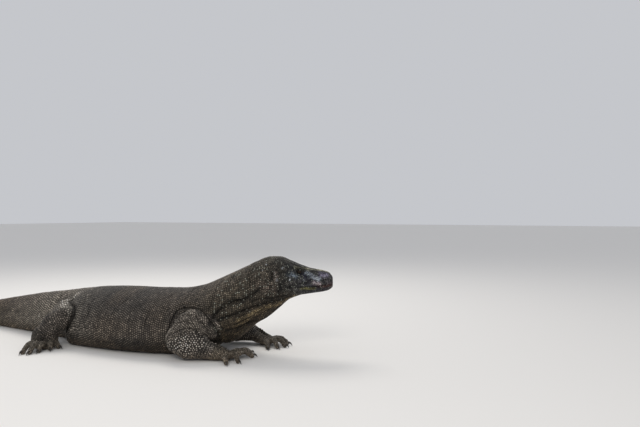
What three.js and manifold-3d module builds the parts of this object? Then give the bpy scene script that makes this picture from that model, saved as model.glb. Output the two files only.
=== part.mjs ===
// A life-size Komodo dragon resting on its belly with its head raised, as a still model in separate pieces.
// Millimetres, +Z up, +X towards the head, +Y to the animal's left; the floor is z = 0.
import * as THREE from "three";
import { mergeVertices } from "three/addons/utils/BufferGeometryUtils.js";
import Module from "manifold-3d";

const wasm = await Module();
wasm.setup();

// ---- driving dimensions ----
const gap = 0.4; // clearance between neighbouring pieces
const sunk = -10; // how far a resting section is drawn below the floor before it is cut flat there
const sagging = -20; // the same where the belly sags and rests on more of its width
const bodyFacets = 16;
const throatFacets = 12;
const limbFacets = 10;
const palmFacets = 8;
const toeFacets = 5;
const clawFacets = 4;

// Where one length of the body ends and the next begins, in mm along the midline from mid-trunk.
const tailTipEnds = -1290;
const tailMiddleEnds = -880;
const tailBaseEnds = -440;
const trunkEnds = 452;
const neckEnds = 648;
const mouthCorner = 737;

// ---- colours ----
const hide = new THREE.MeshStandardMaterial({ color: 0x6a635a, roughness: 0.85, metalness: 0 });
const throatHide = new THREE.MeshStandardMaterial({ color: 0x5f5344, roughness: 0.85, metalness: 0 });
const horn = new THREE.MeshStandardMaterial({ color: 0x2b2825, roughness: 0.45, metalness: 0 });
const eyeGlass = new THREE.MeshStandardMaterial({ color: 0x241a12, roughness: 0.1, metalness: 0 });

// ---- the body's outline: one row for each place along the midline ----
// at: mm along the midline; turn: heading in degrees to the left of +X; top and bottom: heights of the back and belly;
// widest and half: height of the widest point and half the width there; squareTop and squareBottom: 2 is round and
// more is boxier; step: spacing of the rings that draw it.
const bodyColumns = ["at", "turn", "top", "bottom", "widest", "half", "squareTop", "squareBottom", "step"];
const bodyRows = [
  [-1850, 22, 7, sunk, 3, 3, 2.0, 2.0, 50],
  [-1825, 22, 14, sunk, 5, 8, 2.0, 2.0, 70],
  [-1650, 20, 36, sunk, 15, 16, 1.9, 2.4, 90],
  [-1450, 15, 64, sunk, 28, 27, 1.9, 2.4, 90],
  [-1200, 9, 106, sunk, 45, 44, 1.9, 2.4, 90],
  [-1000, 3, 143, sunk, 60, 64, 1.9, 2.6, 80],
  [-800, -3, 177, sunk, 74, 84, 1.9, 2.6, 70],
  [-620, -5, 205, sunk, 84, 98, 1.9, 2.6, 65],
  [-480, -4, 223, sunk, 90, 108, 1.9, 2.6, 60],
  [-400, -2, 234, sunk, 94, 116, 1.9, 2.7, 44],
  [-345, -1, 242, sunk, 96, 128, 1.9, 2.8, 20],
  [-310, 0, 246, sagging, 96, 152, 1.9, 4.5, 26],
  [-262, 0, 252, sagging, 97, 188, 1.9, 3.6, 34],
  [-205, 0, 257, sunk, 98, 206, 1.9, 3.6, 50],
  [-60, 0, 265, sunk, 98, 214, 1.9, 3.3, 65],
  [110, 2, 269, sunk, 100, 210, 1.9, 2.8, 65],
  [250, 5, 274, sunk, 110, 188, 1.9, 2.5, 48],
  [360, 9, 293, 0, 136, 158, 2.0, 2.3, 40],
  [460, 14, 332, 50, 192, 128, 2.0, 2.1, 36],
  [530, 17, 364, 112, 240, 108, 2.1, 2.1, 34],
  [600, 20, 398, 170, 284, 94, 2.1, 2.1, 30],
  [655, 23, 418, 212, 312, 86, 2.3, 2.2, 26],
  [700, 25, 420, 238, 324, 81, 2.6, 2.5, 24],
  [745, 25, 403, 250, 322, 74, 3.0, 2.7, 22],
  [790, 25, 384, 256, 314, 63, 3.2, 2.7, 22],
  [835, 25, 370, 262, 308, 53, 3.2, 2.6, 20],
  [875, 25, 363, 268, 306, 45, 3.0, 2.6, 16],
  [904, 25, 354, 274, 306, 38, 2.7, 2.4, 10],
  [920, 25, 339, 284, 307, 26, 2.4, 2.2, 6],
  [928, 25, 322, 296, 308, 10, 2.0, 2.0, 5],
];

// The loose throat, from under the jaw to the chest, below and outside the neck.
const throatColumns = ["at", "top", "bottom", "widest", "half", "squareTop", "squareBottom", "step"];
const throatRows = [
  [415, 160, 72, 112, 70, 2.0, 2.0, 25],
  [440, 195, 54, 120, 100, 2.0, 2.2, 40],
  [480, 226, 46, 136, 114, 2.0, 2.2, 40],
  [520, 246, 64, 160, 110, 2.0, 2.1, 40],
  [560, 262, 97, 186, 99, 2.0, 2.0, 40],
  [600, 274, 131, 208, 88, 2.0, 2.0, 40],
  [650, 282, 161, 225, 77, 2.0, 2.0, 40],
  [700, 282, 202, 242, 66, 2.0, 2.0, 36],
  [740, 282, 236, 260, 55, 2.0, 2.0, 26],
  [775, 278, 250, 266, 42, 2.0, 2.0, 20],
  [800, 276, 258, 268, 22, 2.0, 2.0, 15],
];

// Height of the line between the lips.
const mouthColumns = ["at", "height"];
const mouthRows = [
  [mouthCorner - 10, 297],
  [mouthCorner + 15, 294],
  [800, 291],
  [855, 293],
  [890, 300],
  [940, 302],
];

// Smooth value of every column at one place: a monotone cubic between the rows, so nothing overshoots.
function smoothRows(rows, columns) {
  const slopes = rows.map((row, i) => {
    if (i === 0 || i === rows.length - 1) {
      const [a, b] = i === 0 ? [rows[0], rows[1]] : [rows[i - 1], rows[i]];
      return row.map((_, c) => (b[c] - a[c]) / (b[0] - a[0]));
    }
    return row.map((value, c) => {
      const back = (value - rows[i - 1][c]) / (row[0] - rows[i - 1][0]);
      const on = (rows[i + 1][c] - value) / (rows[i + 1][0] - row[0]);
      return back * on <= 0 ? 0 : (2 * back * on) / (back + on);
    });
  });
  return (at) => {
    const last = rows.length - 2;
    const i = Math.min(last, Math.max(0, rows.findIndex((row) => row[0] > at) - 1));
    const k = at >= rows[rows.length - 1][0] ? last : i;
    const span = rows[k + 1][0] - rows[k][0];
    const t = Math.min(1, Math.max(0, (at - rows[k][0]) / span));
    const value = {};
    columns.forEach((name, c) => {
      const [p, q, m, n] = [rows[k][c], rows[k + 1][c], slopes[k][c] * span, slopes[k + 1][c] * span];
      value[name] = p + t * (m + t * (3 * (q - p) - 2 * m - n + t * (2 * (p - q) + m + n)));
    });
    return value;
  };
}

const bodyAt = smoothRows(bodyRows, bodyColumns);
const bodyStart = bodyRows[0][0];
const bodyEnd = bodyRows[bodyRows.length - 1][0];

// The midline on the floor, walked in short steps of the heading from mid-trunk out to both ends.
const stride = 2;
function walkMidline() {
  const places = new Map([[0, [0, 0]]]);
  for (const way of [1, -1]) {
    let [x, y] = [0, 0];
    for (let at = 0; at * way < Math.max(bodyEnd, -bodyStart) + stride; at += way * stride) {
      const heading = THREE.MathUtils.degToRad(bodyAt(at + (way * stride) / 2).turn);
      x += way * stride * Math.cos(heading);
      y += way * stride * Math.sin(heading);
      places.set(at + way * stride, [x, y]);
    }
  }
  return places;
}
const midlinePlaces = walkMidline();
function midline(at) {
  const low = Math.floor(at / stride) * stride;
  const [a, b] = [midlinePlaces.get(low), midlinePlaces.get(low + stride)];
  const t = (at - low) / stride;
  return [a[0] + (b[0] - a[0]) * t, a[1] + (b[1] - a[1]) * t];
}

// A point of the body: along the midline, out to the left, and up.
function bodyPoint(at, left, up) {
  const [x, y] = midline(at);
  const heading = THREE.MathUtils.degToRad(bodyAt(at).turn);
  return new THREE.Vector3(x - left * Math.sin(heading), y + left * Math.cos(heading), up);
}

const bent = (value, power) => Math.sign(value) * Math.abs(value) ** (2 / power);

// One ring across the midline, grown outwards by `grow`: a superellipse whose upper and lower halves have their own
// height and squareness, cut flat at the floor.
function sectionRing(row, at, facets, grow) {
  return Array.from({ length: facets }, (_, i) => {
    const angle = (2 * Math.PI * i) / facets;
    const [c, s] = [Math.cos(angle), Math.sin(angle)];
    const power = s >= 0 ? row.squareTop : row.squareBottom;
    const reach = s >= 0 ? row.top - row.widest + grow : row.widest - row.bottom + grow;
    const up = Math.max(-grow, row.widest + bent(s, power) * reach);
    return bodyPoint(at, bent(c, power) * (row.half + grow), up);
  });
}

// How far out the body's side is at a height above its widest place.
function sideAt(at, height) {
  const row = bodyAt(at);
  const above = height >= row.widest;
  const [reach, power] = above
    ? [row.top - row.widest, row.squareTop]
    : [row.widest - row.bottom, row.squareBottom];
  return row.half * (1 - Math.abs((height - row.widest) / reach) ** power) ** (1 / power);
}

// A closed mesh over rings of equal count: side faces, and a fan on each end.
function loft(rings) {
  const count = rings[0].length;
  const ends = [rings[0], rings[rings.length - 1]].map((ring) =>
    ring.reduce((sum, p) => sum.add(p), new THREE.Vector3()).divideScalar(count),
  );
  const points = [...rings.flat(), ...ends];
  const faces = [];
  for (let r = 0; r + 1 < rings.length; r++)
    for (let i = 0; i < count; i++) {
      const [a, b] = [r * count + i, r * count + ((i + 1) % count)];
      faces.push(a, b, b + count, a, b + count, a + count);
    }
  const lastRing = (rings.length - 1) * count;
  for (let i = 0; i < count; i++) {
    const j = (i + 1) % count;
    faces.push(rings.length * count, j, i);
    faces.push(rings.length * count + 1, lastRing + i, lastRing + j);
  }
  const geometry = new THREE.BufferGeometry().setFromPoints(points);
  geometry.setIndex(faces);
  return geometry;
}

// A geometry as a manifold solid, turned the right way out.
function solidOf(geometry) {
  const bare = geometry.clone();
  bare.deleteAttribute("normal");
  bare.deleteAttribute("uv");
  const merged = mergeVertices(bare, 1e-4);
  const triVerts = new Uint32Array(merged.index.array);
  const make = () =>
    new wasm.Manifold(new wasm.Mesh({ numProp: 3, vertProperties: merged.attributes.position.array, triVerts }));
  const solid = make();
  if (solid.volume() > 0) return solid;
  for (let i = 0; i < triVerts.length; i += 3) [triVerts[i], triVerts[i + 1]] = [triVerts[i + 1], triVerts[i]];
  return make();
}

function geometryOf(solid) {
  const mesh = solid.getMesh();
  return new THREE.BufferGeometry()
    .setAttribute("position", new THREE.BufferAttribute(new Float32Array(mesh.vertProperties), 3))
    .setIndex(new THREE.BufferAttribute(new Uint32Array(mesh.triVerts), 1));
}

// A length of a form between two places, with flat ends: rings of its rows at their own spacing. Grown, it has the
// same rings, each moved out, so that it clears the plain one all over.
function lengthOf(rowAt, facets, from, to, grow) {
  const stations = [from - grow];
  for (let at = from + rowAt(from).step; at < to - rowAt(at).step / 2; at += rowAt(at).step) stations.push(at);
  stations.push(to + grow);
  return solidOf(loft(stations.map((at) => sectionRing(rowAt(at), at, facets, grow))));
}
const bodyLength = (from, to, grow = 0) => lengthOf(bodyAt, bodyFacets, from, to, grow);

// A tapering limb or digit along a curve through `points`, each with its half width and half height in `sizes`.
// `caps` are the shrinking rings that round off the start and the end, as angles; below the floor it is cut flat.
function sweep(points, sizes, { facets = limbFacets, steps = 2, grow = 0, caps = [[1.2, 0.65], [0.65, 1.2]] } = {}) {
  const curve = new THREE.CatmullRomCurve3(points, false, "centripetal");
  const spans = points.length - 1;
  const upward = new THREE.Vector3(0, 0, 1);
  const ring = (t, capAngle = 0, way = 1) => {
    const k = Math.min(spans - 1, Math.floor(t * spans));
    const along = t * spans - k;
    const ahead = curve.getTangent(t);
    const side = new THREE.Vector3().crossVectors(upward, ahead).normalize();
    const over = new THREE.Vector3().crossVectors(ahead, side);
    const [wide, high] = sizes[k].map((s, i) => s + (sizes[k + 1][i] - s) * along + grow);
    const shrink = Math.cos(capAngle);
    const reach = way * Math.sin(capAngle) * Math.min(wide, high);
    return Array.from({ length: facets }, (_, i) => {
      const angle = (2 * Math.PI * (i + 0.5)) / facets;
      const p = curve
        .getPoint(t)
        .addScaledVector(side, Math.cos(angle) * wide * shrink)
        .addScaledVector(over, Math.sin(angle) * high * shrink)
        .addScaledVector(ahead, reach);
      p.z = Math.max(-grow, p.z);
      return p;
    });
  };
  const count = spans * steps;
  const middle = Array.from({ length: count + 1 }, (_, i) => ring(i / count));
  const first = caps[0].map((angle) => ring(0, angle, -1));
  const last = caps[1].map((angle) => ring(1, angle, 1));
  return solidOf(loft([...first, ...middle, ...last]));
}

// An egg-shaped swelling or hollow: a sphere stretched along, across and up, tipped forwards by `dip` degrees and
// turned to the body's heading.
function egg(at, left, up, [along, across, high], dip = 0, facets = 8) {
  const geometry = new THREE.SphereGeometry(1, facets, Math.round(facets * 0.6));
  geometry.scale(along, across, high);
  geometry.rotateY(THREE.MathUtils.degToRad(dip));
  geometry.rotateZ(THREE.MathUtils.degToRad(bodyAt(at).turn));
  geometry.translate(...bodyPoint(at, left, up).toArray());
  return solidOf(geometry);
}

const vec = (x, y, z) => new THREE.Vector3(x, y, z);

// The largest single body of a solid, so that no sliver is left by a cut.
const whole = (solid) => solid.decompose().sort((a, b) => b.volume() - a.volume())[0];

const dragon = new THREE.Group();
function addPiece(name, solid, material) {
  const mesh = new THREE.Mesh(geometryOf(solid), material);
  mesh.name = name;
  dragon.add(mesh);
}

// ---- lengths of the body ----
const halfGap = gap / 2;
const lengths = {
  tail_tip: [bodyStart, tailTipEnds - halfGap],
  tail_middle: [tailTipEnds + halfGap, tailMiddleEnds - halfGap],
  tail_base: [tailMiddleEnds + halfGap, tailBaseEnds - halfGap],
  trunk: [tailBaseEnds + halfGap, trunkEnds - halfGap],
  neck: [trunkEnds + halfGap, neckEnds - halfGap],
};
for (const [name, [from, to]] of Object.entries(lengths)) addPiece(name, bodyLength(from, to), hide);

// ---- head: brows, snout ridges, jaw muscles and nostril swellings, with hollows for eyes, ears and nostrils ----
const eyePlace = { at: 787, height: 358, radius: 9.5, sunk: 5 };
const earPlace = { at: 671, height: 340, size: [4.5, 9, 17] };
const nostrilPlace = { at: 893, height: 324, out: 39, size: [6, 5, 4] };
const eyeball = (way, grow) => {
  const out = sideAt(eyePlace.at, eyePlace.height) - eyePlace.sunk;
  const radius = eyePlace.radius + grow;
  return egg(eyePlace.at, way * out, eyePlace.height, [radius, radius, radius]);
};
const swellings = (grow) =>
  [-1, 1].flatMap((way) => [
    egg(780, way * (sideAt(780, 370) - 7), 370, [38 + grow, 12 + grow, 10 + grow], 12),
    egg(844, way * (sideAt(844, 354) - 8), 355, [44 + grow, 10 + grow, 9 + grow], 14),
    egg(712, way * 54, 304, [52 + grow, 36 + grow, 46 + grow]),
    egg(892, way * 26, 325, [20 + grow, 13 + grow, 15 + grow]),
  ]);
const joined = (solids) => solids.reduce((all, one) => all.add(one));
const headForm = (grow) => joined([bodyLength(neckEnds + halfGap, bodyEnd, grow), ...swellings(grow)]);
const hollows = [-1, 1].flatMap((way) => [
  eyeball(way, gap),
  egg(earPlace.at, way * sideAt(earPlace.at, earPlace.height), earPlace.height, earPlace.size),
  egg(nostrilPlace.at, way * nostrilPlace.out, nostrilPlace.height, nostrilPlace.size, 0, 6),
]);

// The solid under the line between the lips, from the corner of the mouth forwards.
const mouthAt = smoothRows(mouthRows, mouthColumns);
function underMouth(lift, start) {
  const [wide, low] = [140, 180];
  const rings = [];
  for (let at = start; at <= bodyEnd + 30; at += 24) {
    const high = mouthAt(at).height + lift;
    rings.push([bodyPoint(at, -wide, low), bodyPoint(at, wide, low), bodyPoint(at, wide, high), bodyPoint(at, -wide, high)]);
  }
  return solidOf(loft(rings));
}
const skull = headForm(0).subtract(joined(hollows));
addPiece("head", whole(skull.subtract(underMouth(halfGap, mouthCorner - halfGap))), hide);
addPiece("lower_jaw", whole(skull.intersect(underMouth(-halfGap, mouthCorner + halfGap))), throatHide);
addPiece("eye_right", eyeball(-1, 0), eyeGlass);
addPiece("eye_left", eyeball(1, 0), eyeGlass);

// ---- throat ----
const throatAt = smoothRows(throatRows, throatColumns);
const [throatStart, throatEnd] = [throatRows[0][0], throatRows[throatRows.length - 1][0]];
const throatForm = (grow) => lengthOf(throatAt, throatFacets, throatStart, throatEnd, grow);
const grownLengths = ["tail_base", "trunk", "neck"].map((name) => bodyLength(...lengths[name], gap));
addPiece("throat", whole(throatForm(0).subtract(joined([...grownLengths, headForm(gap)]))), throatHide);
const grownBody = joined([...grownLengths, throatForm(gap)]);

// ---- legs: joints in mm, each with its half width and half height; digits run from the inner to the outer one ----
const legs = {
  front_right: {
    parts: ["upper_arm", "forearm", "hand"],
    root: [vec(452, -46, 130), [66, 62]],
    upper: [vec(412, -111, 140), [63, 68]],
    hinge: [vec(374, -160, 84), [54, 60]],
    lower: [vec(414, -142, 72), [58, 72]],
    ankle: [vec(486, -104, 38), [36, 34]],
    palm: [vec(540, -66, 21), [46, 23]],
    digits: [
      [vec(542, -40, 20), vec(546, 6, 25), vec(538, 42, 9)],
      [vec(560, -40, 22), vec(578, 10, 30), vec(580, 54, 9)],
      [vec(572, -54, 23), vec(602, -20, 32), vec(616, 10, 9)],
      [vec(570, -76, 23), vec(602, -88, 32), vec(620, -96, 9)],
      [vec(552, -96, 20), vec(578, -124, 26), vec(596, -142, 9)],
    ],
    digitSize: 12.5,
    clawSize: [6, 27],
  },
  front_left: {
    parts: ["upper_arm", "forearm", "hand"],
    root: [vec(412, 140, 130), [66, 62]],
    upper: [vec(370, 186, 140), [63, 68]],
    hinge: [vec(326, 224, 84), [54, 60]],
    lower: [vec(390, 246, 70), [57, 68]],
    ankle: [vec(462, 262, 42), [36, 34]],
    palm: [vec(528, 262, 21), [46, 23]],
    digits: [
      [vec(538, 234, 20), vec(566, 202, 25), vec(586, 176, 9)],
      [vec(550, 246, 22), vec(590, 226, 30), vec(616, 208, 9)],
      [vec(556, 262, 23), vec(602, 254, 32), vec(630, 248, 9)],
      [vec(552, 278, 23), vec(590, 286, 31), vec(616, 290, 9)],
      [vec(532, 290, 20), vec(556, 312, 26), vec(572, 330, 9)],
    ],
    digitSize: 12.5,
    clawSize: [6, 27],
  },
  hind_right: {
    parts: ["thigh", "shank", "foot"],
    root: [vec(-372, -40, 120), [82, 76]],
    upper: [vec(-338, -118, 126), [74, 70]],
    hinge: [vec(-254, -199, 135), [47, 47]],
    lower: [vec(-290, -228, 106), [62, 52]],
    ankle: [vec(-316, -254, 60), [58, 42]],
    palm: [vec(-294, -278, 28), [58, 31]],
    digits: [
      [vec(-270, -244, 20), vec(-256, -246, 27), vec(-240, -247, 9)],
      [vec(-274, -270, 23), vec(-252, -282, 31), vec(-238, -292, 9)],
      [vec(-280, -294, 24), vec(-260, -320, 32), vec(-248, -342, 9)],
      [vec(-292, -308, 24), vec(-272, -346, 34), vec(-256, -380, 9)],
      [vec(-318, -292, 24), vec(-306, -342, 34), vec(-286, -392, 9)],
    ],
    digitSize: 13,
    clawSize: [6.5, 28],
  },
  hind_left: {
    parts: ["thigh", "shank", "foot"],
    root: [vec(-376, 46, 120), [82, 76]],
    upper: [vec(-346, 124, 126), [74, 70]],
    hinge: [vec(-266, 209, 136), [47, 47]],
    lower: [vec(-306, 238, 105), [62, 52]],
    ankle: [vec(-340, 266, 60), [58, 42]],
    palm: [vec(-320, 294, 28), [58, 31]],
    digits: [
      [vec(-296, 268, 20), vec(-270, 272, 26), vec(-250, 274, 9)],
      [vec(-300, 290, 23), vec(-274, 308, 31), vec(-256, 320, 9)],
      [vec(-308, 312, 24), vec(-288, 342, 32), vec(-274, 366, 9)],
      [vec(-322, 324, 24), vec(-308, 364, 34), vec(-298, 400, 9)],
      [vec(-346, 306, 24), vec(-352, 352, 34), vec(-350, 396, 9)],
    ],
    digitSize: 13,
    clawSize: [6.5, 28],
  },
};

// One leg as upper length, lower length, foot with its digits, and five claws, each cut clear of what carries it.
function addLeg(name, leg) {
  const limb = (joints, options) =>
    sweep(joints.map((j) => j[0]), joints.map((j) => j[1]), options);
  const upper = (grow) => limb([leg.root, leg.upper, leg.hinge], { grow });
  const lower = (grow) => limb([leg.hinge, leg.lower, leg.ankle], { grow });
  const palm = (grow) => limb([leg.ankle, leg.palm], { grow, facets: palmFacets, caps: [[], [0.6, 1.15]] });
  const digit = (points, grow) =>
    sweep(points, [[1.3, 1.2], [1, 1], [0.85, 0.85]].map((s) => s.map((k) => k * leg.digitSize)), {
      facets: toeFacets,
      steps: 1,
      grow,
      caps: [[], [0.9]],
    });
  const foot = (grow) => joined([palm(grow), ...leg.digits.map((points) => digit(points, grow))]);
  addPiece(`${leg.parts[0]}_${name}`, whole(upper(0).subtract(grownBody)), hide);
  const held = joined([upper(gap), grownBody]);
  addPiece(`${leg.parts[1]}_${name}`, whole(lower(0).subtract(held)), hide);
  addPiece(`${leg.parts[2]}_${name}`, whole(foot(0).subtract(held).subtract(lower(gap))), hide);
  const grownFoot = foot(gap);
  leg.digits.forEach((points, i) => {
    const [, knuckle, tip] = points;
    const along = tip.clone().sub(knuckle).setZ(0).normalize();
    const [radius, length] = leg.clawSize;
    const from = tip.clone().addScaledVector(along, 2).setZ(tip.z + 4);
    const middle = tip.clone().addScaledVector(along, length * 0.55).setZ(tip.z + 3.5);
    const end = tip.clone().addScaledVector(along, length).setZ(1.4);
    const claw = sweep([from, middle, end], [[radius, radius], [radius * 0.62, radius * 0.8], [0.8, 0.9]], {
      facets: clawFacets,
      steps: 1,
      caps: [[], []],
    });
    addPiece(`claw_${name}_${i + 1}`, whole(claw.subtract(grownFoot)), horn);
  });
}
for (const [name, leg] of Object.entries(legs)) addLeg(name, leg);

// The origin is on the floor under the middle of the whole animal's box.
const box = new THREE.Box3().setFromObject(dragon);
const middle = box.getCenter(new THREE.Vector3());
dragon.position.set(-middle.x, -middle.y, -box.min.z);

export default dragon;
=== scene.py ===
import math
import time

import bpy
import numpy as np
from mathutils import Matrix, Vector
from mathutils.bvhtree import BVHTree
from mathutils.kdtree import KDTree


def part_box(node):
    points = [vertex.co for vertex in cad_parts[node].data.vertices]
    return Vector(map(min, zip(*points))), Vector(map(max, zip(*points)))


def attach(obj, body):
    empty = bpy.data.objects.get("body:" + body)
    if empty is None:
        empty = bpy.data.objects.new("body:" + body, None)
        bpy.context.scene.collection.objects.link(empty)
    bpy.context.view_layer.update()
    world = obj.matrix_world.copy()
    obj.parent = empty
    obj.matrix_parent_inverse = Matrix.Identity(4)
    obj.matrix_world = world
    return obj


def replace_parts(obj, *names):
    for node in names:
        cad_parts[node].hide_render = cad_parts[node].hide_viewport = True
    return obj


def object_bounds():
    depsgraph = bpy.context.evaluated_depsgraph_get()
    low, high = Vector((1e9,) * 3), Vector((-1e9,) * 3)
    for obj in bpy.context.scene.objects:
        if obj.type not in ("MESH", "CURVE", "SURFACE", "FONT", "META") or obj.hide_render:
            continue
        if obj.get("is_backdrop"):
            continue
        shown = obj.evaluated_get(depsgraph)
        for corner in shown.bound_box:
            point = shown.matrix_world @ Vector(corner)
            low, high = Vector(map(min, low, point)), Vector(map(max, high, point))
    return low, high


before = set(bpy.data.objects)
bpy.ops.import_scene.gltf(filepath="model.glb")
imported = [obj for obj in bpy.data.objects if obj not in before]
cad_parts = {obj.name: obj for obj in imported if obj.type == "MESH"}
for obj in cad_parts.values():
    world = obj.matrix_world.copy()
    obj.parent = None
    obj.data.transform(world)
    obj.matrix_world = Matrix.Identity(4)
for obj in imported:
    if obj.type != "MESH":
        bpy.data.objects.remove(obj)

# A Komodo dragon lying on its belly. Lengths in the tables are millimetres along, out to the left and up
# from the floor in the animal's own frame; every mesh is in metres in the frame of the CAD model.
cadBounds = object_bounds()
mm = 0.001
started = time.time()
randomSource = np.random.default_rng(11)


def report(stage):
    print(f"{time.time() - started:6.1f} s  {stage}", flush=True)


def addObject(name, data):
    obj = bpy.data.objects.new(name, data)
    bpy.context.scene.collection.objects.link(obj)
    return obj


# the animal's outline
# at, turn (degrees to the left), top, bottom, widest height, half width, squareness above and below
bodyRows = [
    (-1850, 22, 7, -10, 3, 3, 2.0, 2.0),
    (-1825, 22, 14, -10, 5, 8, 2.0, 2.0),
    (-1650, 20, 36, -10, 15, 16, 1.9, 2.4),
    (-1450, 15, 64, -10, 28, 27, 1.9, 2.4),
    (-1200, 9, 106, -10, 45, 44, 1.9, 2.4),
    (-1000, 3, 143, -10, 60, 64, 1.9, 2.6),
    (-800, -3, 177, -10, 74, 84, 1.9, 2.6),
    (-620, -5, 205, -10, 84, 98, 1.9, 2.6),
    (-480, -4, 223, -10, 90, 108, 1.9, 2.6),
    (-400, -2, 234, -10, 94, 116, 1.9, 2.7),
    (-345, -1, 242, -10, 96, 128, 1.9, 2.8),
    (-310, 0, 246, -20, 96, 152, 1.9, 4.5),
    (-262, 0, 252, -20, 97, 188, 1.9, 3.6),
    (-205, 0, 257, -10, 98, 206, 1.9, 3.6),
    (-60, 0, 265, -10, 98, 214, 1.9, 3.3),
    (110, 2, 269, -10, 100, 210, 1.9, 2.8),
    (250, 5, 274, -10, 110, 188, 1.9, 2.5),
    (360, 9, 293, 0, 136, 158, 2.0, 2.3),
    (460, 14, 332, 50, 192, 128, 2.0, 2.1),
    (530, 17, 364, 112, 240, 108, 2.1, 2.1),
    (600, 20, 398, 170, 284, 94, 2.1, 2.1),
    (655, 23, 418, 212, 312, 86, 2.3, 2.2),
    (700, 25, 420, 238, 324, 81, 2.6, 2.5),
    (745, 25, 403, 250, 322, 74, 3.0, 2.7),
    (790, 25, 384, 256, 314, 63, 3.2, 2.7),
    (835, 25, 370, 262, 308, 53, 3.2, 2.6),
    (875, 25, 363, 268, 306, 45, 3.0, 2.6),
    (904, 25, 354, 274, 306, 38, 2.7, 2.4),
    (920, 25, 339, 284, 307, 26, 2.4, 2.2),
    (928, 25, 322, 296, 308, 10, 2.0, 2.0),
]

# the loose throat: at, top, bottom, widest height, half width, squareness above and below
throatRows = [
    (415, 160, 72, 112, 70, 2.0, 2.0),
    (440, 195, 54, 120, 100, 2.0, 2.2),
    (480, 226, 46, 136, 114, 2.0, 2.2),
    (520, 246, 64, 160, 110, 2.0, 2.1),
    (560, 262, 97, 186, 99, 2.0, 2.0),
    (600, 274, 131, 208, 88, 2.0, 2.0),
    (650, 282, 161, 225, 77, 2.0, 2.0),
    (700, 282, 202, 242, 66, 2.0, 2.0),
    (740, 282, 236, 260, 55, 2.0, 2.0),
    (775, 278, 250, 266, 42, 2.0, 2.0),
    (800, 276, 258, 268, 22, 2.0, 2.0),
]


def hermite(start, end, leave, arrive, t):
    # the cubic with these values and slopes at t = 0 and t = 1
    square, cube = 3 * (end - start) - 2 * leave - arrive, 2 * (start - end) + leave + arrive
    return start + t * (leave + t * (square + t * cube))


def smoothColumns(rows, at):
    # every column is a monotone cubic through its rows: harmonic mean slopes, Hermite curves between rows
    table = np.array(rows, float)
    places, values = table[:, 0], table[:, 1:]
    secant = np.diff(values, axis=0) / np.diff(places)[:, None]
    slope = np.empty_like(values)
    slope[0], slope[-1] = secant[0], secant[-1]
    before, after = secant[:-1], secant[1:]
    total = np.where(before + after == 0, 1, before + after)
    slope[1:-1] = np.where(before * after > 0, 2 * before * after / total, 0)
    at = np.clip(np.atleast_1d(np.asarray(at, float)), places[0], places[-1])
    k = np.clip(np.searchsorted(places, at, side="right") - 1, 0, len(places) - 2)
    span = (places[k + 1] - places[k])[:, None]
    t = (at - places[k])[:, None] / span
    return hermite(values[k], values[k + 1], slope[k] * span, slope[k + 1] * span, t)


# the midline on the floor, summed from its heading in short strides
stride = 2.0
strideAt = np.arange(-1852, 1853, stride)
strideHeading = np.radians(smoothColumns(bodyRows, (strideAt[1:] + strideAt[:-1]) / 2)[:, 0])
midX = np.concatenate([[0], np.cumsum(stride * np.cos(strideHeading))])
midY = np.concatenate([[0], np.cumsum(stride * np.sin(strideHeading))])
middleStride = len(strideAt) // 2
midX -= midX[middleStride]
midY -= midY[middleStride]


def headingAt(at):
    return np.radians(smoothColumns(bodyRows, at)[:, 0])


def bodyPoint(at, left, up):
    # the midline's point at a place, moved out to the left across the heading, and up
    at, left, up = np.broadcast_arrays(np.asarray(at, float), left, up)
    shape = at.shape
    heading = headingAt(at.ravel()).reshape(shape)
    x = np.interp(at, strideAt, midX) - left * np.sin(heading)
    y = np.interp(at, strideAt, midY) + left * np.cos(heading)
    return np.stack([x, y, up], -1)


def fromMidline(points, at):
    # how far ahead and how far to the left of the midline's point at a place
    heading = headingAt(at)
    dx = points[:, 0] - np.interp(at, strideAt, midX)
    dy = points[:, 1] - np.interp(at, strideAt, midY)
    return dx * np.cos(heading) + dy * np.sin(heading), dy * np.cos(heading) - dx * np.sin(heading)


def bodyPlace(points):
    # the inverse of bodyPoint: walks along the midline until the point lies straight across it
    at = points[:, 0].copy()
    for _ in range(10):
        at = np.clip(at + fromMidline(points, at)[0], -1900, 1000)
    return at, fromMidline(points, at)[1]


def sideAt(at, height):
    # how far out the body's side is: the superellipse solved for its half width at a height
    turn, top, bottom, widest, half, squareTop, squareBottom = smoothColumns(bodyRows, at)[0]
    reach, power = (top - widest, squareTop) if height >= widest else (widest - bottom, squareBottom)
    return half * max(0, 1 - abs((height - widest) / reach) ** power) ** (1 / power)


def sectionPoints(values, angle, grow):
    # a superellipse, cut flat at the floor: out = half |cos|^(2/n), up = widest + reach |sin|^(2/n)
    top, bottom, widest, half, squareTop, squareBottom = [values[:, k, None] for k in range(6)]
    c, s = np.cos(angle), np.sin(angle)
    power = np.where(s >= 0, squareTop, squareBottom)
    reach = np.where(s >= 0, top - widest, widest - bottom) + grow
    left = np.sign(c) * np.abs(c) ** (2 / power) * (half + grow)
    up = widest + np.sign(s) * np.abs(s) ** (2 / power) * reach
    return left, np.maximum(up, -grow)


def sectionPlace(rows, at, angle, grow):
    # left and up of a place on the section, for matching arrays of places along and angles round
    left, up = sectionPoints(smoothColumns(rows, at)[:, -6:], angle[:, None], grow)
    return left[:, 0], up[:, 0]


def sectionForm(rows, stations, sides, grow):
    # rings of the section at every station, as a grid of points
    angle = np.broadcast_to(np.arange(sides) * 2 * np.pi / sides, (len(stations), sides))
    left, up = sectionPoints(smoothColumns(rows, stations)[:, -6:], angle, grow)
    return bodyPoint(np.broadcast_to(np.asarray(stations, float)[:, None], left.shape), left, up)


def unit(vectors):
    return vectors / np.maximum(np.linalg.norm(vectors, axis=-1, keepdims=True), 1e-9)


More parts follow.
